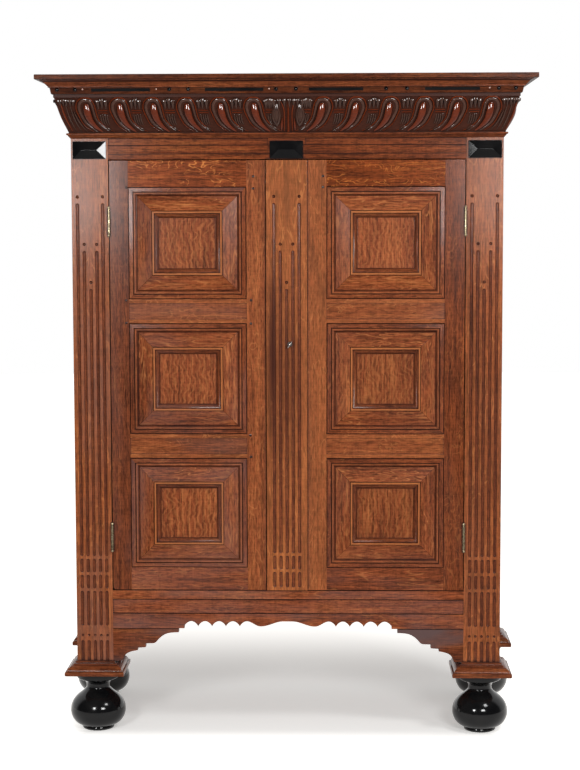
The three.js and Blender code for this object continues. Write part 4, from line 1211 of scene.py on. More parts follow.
corniceSettings = {
    "frieze": [(-0.004, 0), (0.0005, 0), (0.0016, 0.0008), (0.0092, 0.0104), (0.0112, 0.0106),
               (0.0126, 0.0118), (0.013, 0.0136), (0.0126, 0.0156), (0.0112, 0.0168), (0.0058, 0.0172),
               (0.0055, 0.019), (0.0462, 0.1285), (0.048, 0.129), (0.048, 0.139)],
    "crown": [(0.040, 0), (0.052, 0), (0.054, 0.0012), (0.0578, 0.0195), (0.0588, 0.021), (0.063, 0.0212),
              (0.063, 0.0245), (0.0665, 0.0272), (0.071, 0.0322), (0.0755, 0.0370), (0.081, 0.0402),
              (0.086, 0.0418), (0.086, 0.0438), (0.0985, 0.0440), (0.1008, 0.0455), (0.1008, 0.0585),
              (0.0995, 0.06), (0.04, 0.06)],
    "mitreGap": 0.0002, "groundFrom": 0.018, "coveFrom": 0.0205, "coveTo": 0.046,
    "friezeSeed": 50, "friezeLooks": dict(flecks=0.1, depth=0.3, gloss=0.06),
    "crownSeed": 53, "crownLooks": dict(flecks=0.15, wax=0.3, depth=0.14, gloss=0.1),
    "darkSeed": 56, "darkLooks": dict(flecks=0.1, depth=0.6, gloss=0.1),
}
returnNodes = {"left": "cornice_return_left", "right": "cornice_return_right"}


def isFriezeGround(centre, normal):
    return centre.z > caseTop + corniceSettings["groundFrom"] and abs(normal.z) < 0.6


def isDarkCrown(centre, normal):
    aboveCove = centre.z > crownFoot + corniceSettings["coveTo"] and abs(normal.z) < 0.8
    return centre.z < crownFoot + corniceSettings["coveFrom"] or aboveCove


def makeMoulding(label, foot, frontNode, slotName, paintSlot, paintTest):
    whole = stepPiece(label + "_whole", (-halfCase, faceY, foot), (halfCase, backY),
                      corniceSettings[label], fixedBack=True)
    gap = corniceSettings["mitreGap"]
    name = {"frieze": "frieze_board", "crown": "crown_moulding"}[label]
    for index, (side, sign) in enumerate((("front", 0), ("left", -1), ("right", 1))):
        part = copyPiece(whole, f"{name}_{side}")
        if side == "front":
            sliceOff(part, (0, faceY, 0), (0, 1, 0))
            for end in (-1, 1):
                sliceOff(part, (end * (halfCase - gap), faceY, 0), (end, 1, 0))
        else:
            sliceOff(part, (sign * halfCase, 0, 0), (-sign, 0, 0))
            sliceOff(part, (sign * (halfCase + gap), faceY, 0), (-sign, -1, 0))
        smooth(part, 30)
        grain = "x" if side == "front" else "y"
        dress(part, oak(grain, corniceSettings[label + "Seed"] + index, **corniceSettings[label + "Looks"]),
              carvedGroundShade, oak(grain, corniceSettings["darkSeed"], **corniceSettings["darkLooks"]))
        paintFaces(part, paintSlot, paintTest)
        # Faces that look down get the carved ground's dark, a painted shade beneath
        paintFaces(part, 1, lambda centre, normal: normal.z < -0.8)
        hand(part, carcase, slotName, returnNodes.get(side, frontNode))
    deletePiece(whole)


makeMoulding("frieze", caseTop, "frieze_front", "carved_oak", 1, isFriezeGround)
makeMoulding("crown", crownFoot, "crown_front", "oak", 2, isDarkCrown)
print("cornice stepped")

# Ebony strips, black studs and small pale nails along the crown's band, which leans. A strip is
# from and to a place along the front.

bandSettings = {
    "lean": math.atan2(0.0038, 0.0183), "reach": 0.0564, "level": 0.013, "tall": 0.0098, "proud": 0.0007,
    "sunk": 0.003, "edge": 0.0004, "studLift": 0.001, "nailLift": 0.002, "nailSides": 10,
    "strips": [(-0.624, -0.435), (-0.259, -0.072), (0.0735, 0.246), (0.443, 0.618)],
    "studs": [-0.734, -0.676, -0.374, -0.313, -0.032, 0.032, 0.319, 0.386, 0.678, 0.732],
    "nails": [-0.652, -0.416, -0.054, 0.6495, 0.680],
    "studProfile": [(0.0058, -0.0015), (0.0061, 0.0003), (0.0060, 0.0009), (0.0052, 0.0013),
                    (0.0049, 0.0024), (0.0039, 0.0038), (0.0024, 0.0047), (0.0009, 0.0050)],
    "nailProfile": [(0.0030, -0.001), (0.0031, 0.0004), (0.0025, 0.0012), (0.0014, 0.0017),
                    (0.0004, 0.0018)],
}
bandLevel = crownFoot + bandSettings["level"]
bandY = faceY - bandSettings["reach"]
bandLean = bandSettings["lean"]
strips = []
for fromX, toX in bandSettings["strips"]:
    strip = addBox("ebony_strip", (fromX, -bandSettings["proud"], -bandSettings["tall"] / 2),
                   (toX, bandSettings["sunk"], bandSettings["tall"] / 2))
    strip.rotation_euler = (bandLean, 0, 0)
    strip.location = (0, bandY, bandLevel)
    settle(strip)
    bevelEdges(strip, bandSettings["edge"])
    strips.append(strip)
strips = joinPieces("cornice_ebony_strips", strips)
dress(strips, stripBlack)
hand(strips, carcase, "ebony")
studZ = bandLevel + bandSettings["studLift"]
studs = joinPieces("cornice_studs", [
    turnButton("stud", bandSettings["studProfile"], (x, bandY, studZ), bandLean)
    for x in bandSettings["studs"]])
dress(studs, ebonyBlack)
hand(studs, carcase, "ebony")
nailZ = bandLevel + bandSettings["nailLift"]
nails = joinPieces("cornice_nails", [
    turnButton("nail", bandSettings["nailProfile"], (x, bandY, nailZ), bandLean, bandSettings["nailSides"])
    for x in bandSettings["nails"]])
dress(nails, paleNail)
hand(nails, carcase, "brass")
print("band inlaid")

# Dowel ends on the doors' joints: across and up, in the face of the frames

dowelSettings = {
    "sides": 12,
    "profile": [(0.0042, -0.0008), (0.0043, 0.0002), (0.0037, 0.0006), (0.0015, 0.0009), (0.0004, 0.0009)],
    "left": [(-0.109, 1.8406), (-0.109, 1.8016), (-0.1175, 1.439), (-0.1177, 1.363), (-0.121, 0.996),
             (-0.1196, 0.9245), (-0.521, 1.805), (-0.525, 1.439), (-0.5256, 1.365)],
    "right": [(0.1175, 1.841), (0.1174, 1.8055)],
}
for side, body in doorBodies.items():
    dowels = joinPieces(side + "_door_dowels", [
        turnButton("dowel", dowelSettings["profile"], (x, faceY, z), 0.0, dowelSettings["sides"])
        for x, z in dowelSettings[side]])
    dress(dowels, dowelDark)
    hand(dowels, body, "oak")
print("dowels set")

# Carving of the frieze: a lobe in its curling rim, with leaf work between the lobes. Places are
# across and up from the middle of the lobe's head, before the carving is stretched upwards.

carvingSettings = {
    "slope": math.atan2(0.0407, 0.1095), "stretch": 1.05, "headRise": 0.1035, "headReach": 0.0375,
    "leafShares": [(0, 0), (0.35, 0.5), (0.8, 0.8), (1, 1)], "fullShares": [0.75, 1, 0.4],
    "leafRise": 0.002,
    "tip": {"size": (0.0064, 0.0011, 0.0050), "lean": 0.30, "out": 0.0062, "drop": 0.004,
            "turns": (0.0, 0.14)},
}
lobeSettings = {
    "rim": [(0.019, -0.083, 0.0010), (-0.010, -0.061, 0.0020), (-0.026, -0.032, 0.0026),
            (-0.034, -0.010, 0.0027), (-0.031, 0.010, 0.0027), (-0.019, 0.022, 0.0027),
            (-0.004, 0.0245, 0.0027), (0.013, 0.021, 0.0027), (0.0245, 0.004, 0.0027),
            (0.029, -0.016, 0.0026), (0.0365, -0.044, 0.0024), (0.060, -0.070, 0.002),
            (0.087, -0.083, 0.001)],
    "shadedCove": [(0.030, -0.083, 0.001), (0.001, -0.060, 0.0038), (-0.016, -0.034, 0.005),
             (-0.0245, -0.010, 0.0053), (-0.022, 0.007, 0.0053), (-0.0135, 0.0155, 0.0053),
             (-0.001, 0.0175, 0.0053), (0.0095, 0.014, 0.0053), (0.0175, 0.001, 0.005),
             (0.0215, -0.018, 0.0045), (0.030, -0.045, 0.0038), (0.048, -0.067, 0.003),
             (0.070, -0.082, 0.001)],
    "body": [(-0.001, 0.0070, 0.003), (-0.001, 0.0040, 0.0066, 0.0006), (0.0, -0.003, 0.0096, 0.0028),
             (0.0012, -0.012, 0.0108, 0.0068), (0.0045, -0.026, 0.0108, 0.0105),
             (0.0115, -0.045, 0.0090, 0.0095), (0.0265, -0.065, 0.0060, 0.0052), (0.049, -0.083, 0.0018)],
    "bodyRise": 0.003,
    "reeds": [0.044, 0.051, 0.058, 0.065],
    "reed": [(0, -0.029, 0.0016), (0.0005, -0.036, 0.003), (0.003, -0.05, 0.0028), (0.008, -0.062, 0.0012)],
    "ties": [-0.016, -0.0235],
    "tie": [(0.036, 0.001), (0.039, 0.0017), (0.066, 0.0017), (0.069, 0.001)],
    "leaves": [((0.038, -0.010), (0.036, 0.019)), ((0.050, -0.010), (0.049, 0.023)),
               ((0.063, -0.010), (0.062, 0.019))],
    "leafFoot": 0.0016, "leafFull": 0.0062,
    "bud": [(0.056, -0.066, 0.0008), (0.062, -0.069, 0.003), (0.069, -0.0735, 0.003), (0.080, -0.082, 0.001)],
}
cornerSettings = {
    "ribs": [((-0.050, -0.080), (-0.083, 0.008))],
    "stems": [((-0.036, -0.082), (-0.068, 0.006)), ((-0.020, -0.083), (-0.053, 0.000)),
              ((-0.002, -0.083), (-0.041, -0.020))],
    "bend": -0.004, "thickness": (0.001, 0.0034, 0.002),
    "leaves": [((-0.083, 0.000), (-0.088, 0.021)), ((-0.073, 0.000), (-0.077, 0.022)),
               ((-0.063, -0.002), (-0.065, 0.022)), ((-0.052, -0.004), (-0.053, 0.021)),
               ((-0.043, 0.000), (-0.041, 0.020))],
}
palmetteSettings = {
    "veinRise": 0.0085, "leafFoot": -0.008, "leafTip": 0.021, "leafSpread": 1.03,
    "stem": [(0, -0.084, 0.0045), (0, -0.050, 0.0034), (0, -0.015, 0.0028), (0, 0.012, 0.0016)],
    "rib": [(0.013, -0.083, 0.0016), (0.0125, -0.050, 0.0026), (0.0125, -0.024, 0.0026),
            (0.017, -0.002, 0.0026), (0.027, 0.017, 0.0014)],
    "leaf": [(0.036, -0.068, 0.002), (0.037, -0.056, 0.011), (0.0385, -0.036, 0.0165),
             (0.0385, -0.014, 0.0135), (0.037, 0.000, 0.0065), (0.036, 0.006, 0.002)],
    "drop": [(0.022, -0.082, 0.001), (0.021, -0.066, 0.0042), (0.020, -0.052, 0.003),
             (0.019, -0.040, 0.001)],
    "curl": [(0.030, -0.081, 0.001), (0.042, -0.074, 0.003), (0.054, -0.064, 0.004),
             (0.058, -0.052, 0.002)],
    "veins": [
        [(0.036, -0.060, 0.001), (0.030, -0.044, 0.0014), (0.029, -0.022, 0.0014), (0.034, -0.003, 0.001)],
        [(0.037, -0.060, 0.001), (0.046, -0.044, 0.0014), (0.048, -0.022, 0.0014), (0.042, -0.003, 0.001)],
        [(0.0365, -0.058, 0.001), (0.0385, -0.034, 0.0016), (0.038, -0.006, 0.001)]],
    "leaves": [-0.064, -0.052, -0.028, -0.012, 0.004, 0.018, 0.030, 0.053, 0.064],
}
slimLeaf = (0.0010, 0.0046)  # radius at its foot and where it is full


# A stem with its finish. The steps are those between two points of its path, the lift stretches
# it out of the ground, and the rise moves it out.
def addStem(finish, points, steps, sides, lift, rise=0.0):
    stem = carveStem("stem", points, steps, sides, lift)
    stem.location.y = -rise
    settle(stem)
    dress(stem, finish)
    return stem


def finishCarving(name, parts):
    carving = joinPieces(name, parts)
    startEdit(carving)
    bpy.ops.mesh.select_all(action="SELECT")
    bpy.ops.transform.resize(value=(1, 1, carvingSettings["stretch"]), center_override=(0, 0, 0))
    endEdit()
    evenNormals(carving)
    smooth(carving, 60)
    return carving


# The polished tip of a leaf, which curls forward and faces the room
def addTip(x, z, turn):
    settings = carvingSettings["tip"]
    clearSelection()
    bpy.ops.mesh.primitive_uv_sphere_add(segments=16, ring_count=10, radius=1)
    tip = named("tip")
    tip.scale = settings["size"]
    settle(tip)
    tip.rotation_euler = (-settings["lean"], 0, turn)
    tip.location = (x, -settings["out"], z)
    settle(tip)
    dress(tip, carvedLeaf)
    return tip


# A row of small upright leaves, each from a foot to a tip
def addLeaves(leaves, foot, full):
    settings, tip = carvingSettings, carvingSettings["tip"]
    radii = [foot] + [full * share for share in settings["fullShares"]]
    parts = []
    for index, ((fromX, fromZ), (toX, toZ)) in enumerate(leaves):
        path = [(fromX + (toX - fromX) * across, fromZ + (toZ - fromZ) * up, radius)
                for (across, up), radius in zip(settings["leafShares"], radii)]
        parts.append(addStem(carvedLeaf, path, 3, 10, 0.8, settings["leafRise"]))
        parts.append(addTip(toX, toZ - tip["drop"], tip["turns"][index % 2]))
    return parts


def addLobe():
    settings = lobeSettings
    parts = [addStem(carvedRim, settings["rim"], 3, 8, 1.9), addStem(carvedCove, settings["shadedCove"], 3, 8, 0.5),
             addStem(carvedBody, settings["body"], 3, 20, 0.5, settings["bodyRise"])]
    for x in settings["reeds"]:
        reed = [(x + aside, z, radius) for aside, z, radius in settings["reed"]]
        parts.append(addStem(carvedLeaf, reed, 2, 6, 1.0))
    for z in settings["ties"]:
        tie = [(x, z, radius) for x, radius in settings["tie"]]
        parts.append(addStem(carvedRim, tie, 2, 6, 1.3))
    parts += addLeaves(settings["leaves"], settings["leafFoot"], settings["leafFull"])
    parts.append(addStem(carvedLeaf, settings["bud"], 3, 8, 1.6))
    return finishCarving("lobe", parts)


# Leaf work that closes the row at a mitred corner
def addCornerLeaf():
    settings = cornerSettings
    footRadius, bendRadius, tipRadius = settings["thickness"]
    parts = []
    for finish, stems in ((carvedRim, settings["ribs"]), (carvedLeaf, settings["stems"])):
        for foot, tip in stems:
            bend = ((foot[0] + tip[0]) / 2 + settings["bend"], (foot[1] + tip[1]) / 2)
            path = [(*foot, footRadius), (*bend, bendRadius), (*tip, tipRadius)]
            parts.append(addStem(finish, path, 4, 8, 1.3))
    parts += addLeaves(settings["leaves"], *slimLeaf)
    return finishCarving("corner_leaf", parts)


# The leaf on its stem that parts the two rows of lobes at the middle of the front
def addPalmette():
    settings = palmetteSettings
    parts = [addStem(carvedRim, settings["stem"], 3, 8, 1.6)]
    halves = [(carvedRim, settings["rib"], 1.5, 0.0), (carvedLeaf, settings["leaf"], 0.55, 0.0),
              (carvedBody, settings["drop"], 1.1, 0.0), (carvedLeaf, settings["curl"], 1.2, 0.0)]
    halves += [(carvedCove, vein, 1.0, settings["veinRise"]) for vein in settings["veins"]]
    for sign in (-1, 1):
        for finish, points, lift, rise in halves:
            path = [(sign * x, z, radius) for x, z, radius in points]
            parts.append(addStem(finish, path, 4, 10, lift, rise))
    leaves = [((x, settings["leafFoot"]), (x * settings["leafSpread"], settings["leafTip"]))
              for x in settings["leaves"]]
    parts += addLeaves(leaves, *slimLeaf)
    return finishCarving("palmette", parts)


# The row starts from the palmette in front and from the mitre at the sides, where it runs back
rowSettings = {
    "middle": 0.006, "first": 0.1085, "pitch": 0.108, "count": 6,
    "sideFirst": 0.058, "sidePitch": 0.109, "sideCount": 5,
}
carvedMasters = {"lobe": addLobe(), "corner": addCornerLeaf(), "palmette": addPalmette()}
headLevel = caseTop + carvingSettings["headRise"]
headReach = carvingSettings["headReach"]


def placeCarving(kind, x, y, turn=0.0, mirror=False):
    carved = copyPiece(carvedMasters[kind], "carving", mirror=mirror)
    carved.rotation_euler = (carvingSettings["slope"], 0, turn)
    carved.location = (x, y, headLevel)
    return settle(carved)


frontPieces = [placeCarving("palmette", rowSettings["middle"], faceY - headReach)]
for sign in (-1, 1):
    for i in range(rowSettings["count"]):
        x = rowSettings["middle"] + sign * (rowSettings["first"] + i * rowSettings["pitch"])
        frontPieces.append(placeCarving("lobe", x, faceY - headReach, 0, sign > 0))
    frontPieces.append(placeCarving("corner", x, faceY - headReach, 0, sign > 0))
frontCarving = joinPieces("frieze_carving_front", frontPieces)
hand(frontCarving, carcase, "carved_oak", "frieze_front")
for side, sign in (("left", -1), ("right", 1)):
    x = sign * (halfCase + headReach)
    pieces = []
    for i in range(rowSettings["sideCount"]):
        y = faceY + rowSettings["sideFirst"] + i * rowSettings["sidePitch"]
        pieces.append(placeCarving("lobe", x, y, sign * math.pi / 2, sign < 0))
        if i == 0:
            pieces.append(placeCarving("corner", x, y, sign * math.pi / 2, sign < 0))
    hand(joinPieces("frieze_carving_" + side, pieces), carcase, "carved_oak", returnNodes[side])
for master in carvedMasters.values():
    deletePiece(master)
print("frieze carved")

# Hinges: the case half has its pin, finials and two knuckles, and the door half the middle one

hingeSettings = {
    "axis": (0.5785, 0.005),  # from the middle, and out of the doors' faces
    "knuckle": 0.026, "radius": 0.0045, "pin": 0.0022, "play": 0.0003,
    "chamfer": 0.0004, "plate": 0.001, "plateDepth": 0.030, "gap": 0.0015, "finial": 0.012, "sides": 20,
    "pinWing": 0.001, "knuckleWing": 0.003,
    "finialShape": [(0.0006, 0.0), (0.0030, 0.0009), (0.0045, 0.0028), (0.0050, 0.0050),
                    (0.0045, 0.0072), (0.0032, 0.0092), (0.0024, 0.0104), (0.0026, 0.0109),
                    (0.0041, 0.0114), (0.0045, 0.0120)],
}

# Slotted screw heads, one turned for each way that they face and then copied. A place is in from
# the barrel and up from the hinge's foot.
screwSettings = {
    "profile": [(0.0031, -0.0008), (0.0032, 0.0), (0.0029, 0.00018), (0.0004, 0.00022)], "sides": 16,
    "slot": {"width": 0.0007, "length": 0.010, "foot": -0.0003, "top": 0.001},
    "places": [(0.017, 0.023), (0.027, 0.050), (0.017, 0.077)], "lockInset": 0.010,
}


def makeScrew(turn):
    slot = screwSettings["slot"]
    width, length = slot["width"] / 2, slot["length"] / 2
    screw = turnPiece("screw", (0, 0, 0), screwSettings["profile"], screwSettings["sides"])
    cutWith(screw, addBox("slot", (-width, -length, slot["foot"]), (width, length, slot["top"])))
    screw.rotation_euler = turn
    return settle(screw)


screws = {1: makeScrew((0, math.pi / 2, 0)), -1: makeScrew((0, -math.pi / 2, 0))}
lockScrew = makeScrew((-math.pi / 2, 0, 0))


def addScrews(x, y, foot, facing):
    return [copyPiece(screws[facing], "screw", (x, y + inward, foot + up))
            for inward, up in screwSettings["places"]]


# Plates on one side of the axis, each over a span in from the barrel and a span of levels
def addHingePlates(x, y, side, spans):
    outer = x + side * hingeSettings["gap"]
    inner = outer - side * hingeSettings["plate"]
    near, far = min(outer, inner), max(outer, inner)
    return [addBox("plate", (near, y + fromY, bottom), (far, y + toY, top))
            for (fromY, toY), (bottom, top) in spans]


def finishHinge(parts, name, body, node):
    half = joinPieces(name, parts)
    smooth(half, 40)
    dress(half, brass)
    hand(half, body, "brass", node)


def makeHinge(side, sign, level):
    settings = hingeSettings
    low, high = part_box(f"{side}_{level}_hinge_pin")
    foot, length = low.z, high.z - low.z
    x, y = sign * settings["axis"][0], faceY - settings["axis"][1]
    radius, chamfer, play = settings["radius"], settings["chamfer"], settings["play"]
    knuckleFoot = (length - settings["knuckle"]) / 2
    knuckleTop = knuckleFoot + settings["knuckle"]
    slack = (knuckleFoot - play, knuckleTop + play)
    profile = settings["finialShape"] + [
        (radius, slack[0] - chamfer), (radius - chamfer, slack[0]), (settings["pin"], slack[0]),
        (settings["pin"], slack[1]), (radius - chamfer, slack[1]), (radius, slack[1] + chamfer)]
    profile += [(r, length - h) for r, h in reversed(settings["finialShape"])]
    proud = settings["axis"][1]
    plate = ((proud, proud + settings["plateDepth"]),
             (foot + settings["finial"], foot + length - settings["finial"]))
    plateFaceX = sign * (settings["gap"] - settings["plate"])

    pin = [turnPiece("pin", (x, y, foot), profile, settings["sides"])]
    pin += addHingePlates(x, y, sign, [
        plate, ((settings["pinWing"], proud), (foot + settings["finial"], foot + slack[0])),
        ((settings["pinWing"], proud), (foot + slack[1], foot + length - settings["finial"]))])
    pin += addScrews(x + plateFaceX, y, foot, -sign)
    finishHinge(pin, f"{side}_{level}_hinge_case_half", carcase, f"{side}_{level}_hinge_pin")

    tube = turnPiece("knuckle", (x, y, foot), [
        (radius - chamfer, knuckleFoot), (radius, knuckleFoot + chamfer),
        (radius, knuckleTop - chamfer), (radius - chamfer, knuckleTop)], settings["sides"])
    bore = settings["pin"] + play
    cutWith(tube, turnPiece("bore", (x, y, foot), [
        (bore, knuckleFoot - overrun / 2), (bore, knuckleTop + overrun / 2)], settings["sides"]))
    leaf = [tube] + addHingePlates(x, y, -sign, [
        plate, ((settings["knuckleWing"], proud), (foot + knuckleFoot, foot + knuckleTop))])
    leaf += addScrews(x - plateFaceX, y, foot, sign)
    finishHinge(leaf, f"{side}_{level}_hinge_door_half", doorBodies[side], f"{side}_{level}_hinge_leaf")


for side, sign in (("left", -1), ("right", 1)):
    for level in ("upper", "lower"):
        makeHinge(side, sign, level)
low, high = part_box("lock_case")
inset = screwSettings["lockInset"]
lockScrews = joinPieces("lock_screws", [
    copyPiece(lockScrew, "screw", (x, high.y, z))
    for x in (low.x + inset, high.x - inset) for z in (low.z + inset, high.z - inset)])
smooth(lockScrews, 40)
dress(lockScrews, iron)
hand(lockScrews, doorBodies["right"], "iron")
for piece in [lockScrew, *screws.values()]:
    deletePiece(piece)
print("hinges and lock screwed on")

# Key, with its bow in front and its bit in the lock, and the plate round its hole. The heights of
# its tip are from the end of the shank, and those of its collar from the front of the doors.

keySettings = {
    "x": 0.00925, "z": 1.296, "tilt": math.radians(31), "bit": (0.003, 0.012), "bitSpan": (0.044, 0.052),
    "bitRoot": 0.001, "bitEdge": 0.0004, "sides": 20,
    "tipProfile": [(0.0012, 0.0), (0.0028, 0.0008), (0.0030, 0.002)],
    "collarProfile": [(0.0030, 0.0083), (0.0038, 0.0086), (0.0042, 0.0092), (0.0042, 0.0104),
                      (0.0036, 0.0110), (0.0030, 0.0113), (0.0036, 0.0124), (0.0040, 0.0133),
                      (0.0034, 0.0142), (0.0022, 0.0150)],
    "bow": (0.014, 0.011), "bowCentre": 0.025, "bar": 0.0021, "barShare": 0.17,
}


def makeKey():
    settings = keySettings
    bitTop, tip = settings["bitSpan"]
    profile = [(radius, rise - tip) for radius, rise in settings["tipProfile"]]
    shank = turnPiece("shank", (0, 0, 0), profile + settings["collarProfile"], settings["sides"])
    clearSelection()
    share = settings["barShare"]
    bpy.ops.mesh.primitive_torus_add(major_segments=32, minor_segments=10, major_radius=1.0,
                                     minor_radius=share, rotation=(0, math.pi / 2, 0))
    ring = named("bow")
    settle(ring)
    tall, deep = settings["bow"]
    ring.scale = (settings["bar"] / share, tall / (1 + share), deep / (1 + share))
    ring.location = (0, 0, settings["bowCentre"])
    settle(ring)
    width, reach = settings["bit"]
    bit = addBox("bit", (-width / 2, -reach, -tip), (width / 2, -settings["bitRoot"], -bitTop))
    bevelEdges(bit, settings["bitEdge"])
    key = joinPieces("door_key", [shank, ring, bit])
    smooth(key, 45)
    key.rotation_euler = (math.pi / 2, 0, 0)
    settle(key)
    key.rotation_euler = (0, settings["tilt"], 0)
    key.location = (settings["x"], faceY, settings["z"])
    return settle(key)


keyholeSettings = {
    "profile": [(0.0078, 0.0), (0.0080, 0.0004), (0.0078, 0.0009), (0.0070, 0.0012), (0.0062, 0.0012)],
    "sides": 28, "hole": 0.0044,
}
key = makeKey()
dress(key, steel)
hand(key, "key", "steel", "key")
plate = turnPiece("keyhole_plate", (0, 0, 0), keyholeSettings["profile"], keyholeSettings["sides"])
cutWith(plate, turnPiece("keyhole", (0, 0, 0), [
    (keyholeSettings["hole"], -overrun / 2), (keyholeSettings["hole"], overrun / 2)], keySettings["sides"]))
plate.rotation_euler = (math.pi / 2, 0, 0)
plate.location = (keySettings["x"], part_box("centre_pilaster")[0].y, keySettings["z"])
settle(plate)
smooth(plate, 30)
dress(plate, iron)
hand(plate, doorBodies["right"], "iron")
print("key made")

# CAD nodes that keep their shape get finer edges and their own wood

keptSettings = {"edge": 0.0008, "ironEdge": 0.0005, "railGrooveShades": (0.018, 0.0455), "boardSeed": 80}


def finishNode(name, material, edge):
    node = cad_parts[name]
    dress(node, material)
    weld = node.modifiers.new("Weld", "WELD")
    weld.merge_threshold = 0.00001
    flat = node.modifiers.new("Flat faces", "DECIMATE")
    flat.decimate_type = "DISSOLVE"
    flat.angle_limit = math.radians(1)
    bevel = node.modifiers.new("Worn edges", "BEVEL")
    bevel.width = edge
    bevel.segments = 2
    bevel.limit_method = "ANGLE"
    bevel.angle_limit = math.radians(30)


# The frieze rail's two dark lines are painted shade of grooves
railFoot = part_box("frieze_rail")[0].z
railGrooveShades = tuple(railFoot + rise for rise in keptSettings["railGrooveShades"])
stileStain = (-0.062, 1.27, 0.018, 0.42, 0.7)
keptWoods = {
    "frieze_rail": oak("x", 70, flecks=0.2, depth=0.32, gloss=0.06, warmth=0.4, grooves=railGrooveShades),
    "left_door_meeting_stile": oak("z", 75, flecks=0.4, length=6, wear=0.05, waves=0.1, stains=(stileStain,)),
    "right_door_meeting_stile": oak("z", 77, flecks=0.4, length=6, wear=0.14, waves=0.12),
}
for name, wood in keptWoods.items():
    finishNode(name, wood, keptSettings["edge"])
plainBoards = {"floor_board": "x", "shelf_lower": "x", "shelf_upper": "x", "back_boards": "z",
               "ceiling_board": "x", "cornice_lid": "x"}
for index, (name, grain) in enumerate(plainBoards.items()):
    wood = oak(grain, keptSettings["boardSeed"] + index, flecks=0.2, dustAndSheen=0.35, gloss=0.0)
    finishNode(name, wood, keptSettings["edge"])
for name in ("lock_case", "lock_bolt", "left_door_bolt"):
    finishNode(name, iron, keptSettings["ironEdge"])
print("kept nodes finished")

# Camera, at the photograph's place

cameraSettings = {"place": (0.173373, -6.249338, 1.713404), "yaw": -0.02737552, "pitch": -0.0916166988,
                  "roll": -0.00236700382, "focalPixels": 1843.31579, "imageWidth": 580, "sensor": 36.0}
cameraData = bpy.data.cameras.new("photo camera")
cameraData.sensor_fit = "HORIZONTAL"
cameraData.sensor_width = cameraSettings["sensor"]
cameraData.lens = cameraSettings["focalPixels"] * cameraSettings["sensor"] / cameraSettings["imageWidth"]
camera = bpy.data.objects.new("photo camera", cameraData)
camera.matrix_world = (
    Matrix.Translation(cameraSettings["place"]) @ Matrix.Rotation(-cameraSettings["yaw"], 4, "Z")
    @ Matrix.Rotation(math.pi / 2 + cameraSettings["pitch"], 4, "X")
    @ Matrix.Rotation(cameraSettings["roll"], 4, "Z"))
bpy.context.scene.collection.objects.link(camera)
bpy.context.scene.camera = camera

# Soft boxes: place, width, height and power

lampSettings = {
    "left softbox": ((-1.34, -3.8, 1.9), 0.64, 0.66, 62.0),
    "right softbox": ((1.36, -3.95, 1.95), 1.0, 0.74, 74.0),
    "high softbox": ((1.9, -2.2, 3.4), 0.8, 0.8, 40.0),
}
aim = Vector((0, faceY, 1.1))
for name, (place, width, tall, power) in lampSettings.items():
    lampData = bpy.data.lights.new(name, "AREA")
    lampData.shape = "RECTANGLE"
    lampData.size = width
    lampData.size_y = tall
    lampData.energy = power
    lamp = bpy.data.objects.new(name, lampData)
    lamp.location = place
    lamp.rotation_euler = (aim - Vector(place)).to_track_quat("-Z", "Y").to_euler()
    bpy.context.scene.collection.objects.link(lamp)


# World that is white to the camera and behind the cupboard, and dim in all else. The second
# ambient strength is for reflections.

worldSettings = {"behind": (-0.1, 0.25), "ambient": (0.28, 0.06)}


# What a ray sees: the camera's rays see all of it, and the rays of a reflection only a share
def seenBy(add, wire, mirroredShare):
    rays = add("ShaderNodeLightPath").outputs
    mirrored = mathNode(add, wire, "MAXIMUM", rays["Is Glossy Ray"], rays["Is Transmission Ray"])
    seen = mathNode(add, wire, "MAXIMUM", rays["Is Camera Ray"],
                    mathNode(add, wire, "MULTIPLY", mirrored, mirroredShare))
    return mirrored, seen


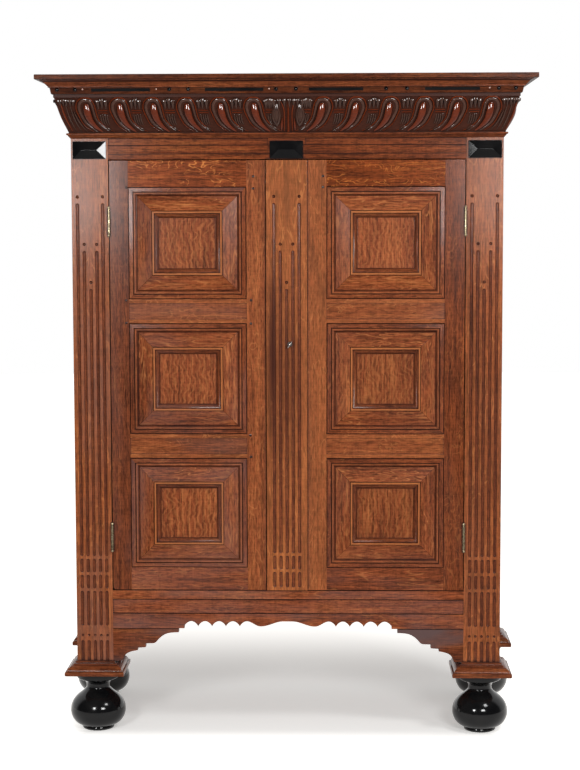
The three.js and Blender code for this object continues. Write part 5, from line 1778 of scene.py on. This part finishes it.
world = bpy.data.worlds.new("studio")
bpy.context.scene.world = world
world.use_nodes = True
add, wire = nodeTools(world.node_tree)
background = world.node_tree.nodes["Background"]
direction = add("ShaderNodeSeparateXYZ")
wire(add("ShaderNodeTexCoord").outputs["Generated"], direction.inputs[0])
behind = rampNode(add, wire, direction.outputs["Y"], *worldSettings["behind"])
mirrored, shown = seenBy(add, wire, behind)
ambient = rampNode(add, wire, mirrored, 0, 1, *worldSettings["ambient"], eased=False)
wire(mathNode(add, wire, "MAXIMUM", ambient, shown), background.inputs["Strength"])
background.inputs["Color"].default_value = (1, 1, 1, 1)

# Floor, which runs out to white. Under the cupboard and behind it its glow drops to a share, a painted
# pool of shade in which its own shadow shows, and round that it shines white. Spans are across from the
# middle or back from the middle of the case.

floorSettings = {
    "sides": 96, "radius": 14, "rough": 0.9, "tint": (-0.8, -1.7), "near": (0.8, 0.8, 0.79),
    "far": (0.1, 0.1, 0.1), "aside": (0.62, 0.80), "inFront": (-0.20, -0.42), "behind": (0.45, 1.7),
    "shadowGlow": 0.32, "mirrored": (-0.9, 0.5, 0.14, 0.9), "glow": (1, 0.975, 0.94, 1),
}
clearSelection()
bpy.ops.mesh.primitive_circle_add(
    vertices=floorSettings["sides"], radius=floorSettings["radius"], fill_type="NGON", location=(0, 0, 0))
floor = named("studio_floor")
floorMaterial, tree, shader = newMaterial("pale floor")
add, wire = nodeTools(tree)
spot = add("ShaderNodeSeparateXYZ")
wire(add("ShaderNodeTexCoord").outputs["Object"], spot.inputs[0])
tint = rampNode(add, wire, spot.outputs["Y"], *floorSettings["tint"])
wire(blendNode(add, wire, tint, floorSettings["near"], floorSettings["far"]), shader.inputs["Base Color"])
across = mathNode(add, wire, "ABSOLUTE", spot.outputs["X"])
outside = rampNode(add, wire, across, *floorSettings["aside"])
for edge in ("inFront", "behind"):
    beyond = rampNode(add, wire, spot.outputs["Y"], *floorSettings[edge])
    outside = mathNode(add, wire, "MAXIMUM", outside, beyond)
glow = rampNode(add, wire, outside, 0, 1, floorSettings["shadowGlow"], 1.0, eased=False)
mirrored, seen = seenBy(add, wire, rampNode(add, wire, spot.outputs["Y"], *floorSettings["mirrored"]))
wire(mathNode(add, wire, "MULTIPLY", glow, seen), shader.inputs["Emission Strength"])
shader.inputs["Emission Color"].default_value = floorSettings["glow"]
shader.inputs["Roughness"].default_value = floorSettings["rough"]
floor.data.materials.append(floorMaterial)

bpy.context.scene.view_settings.view_transform = "Standard"


print("scene ready")
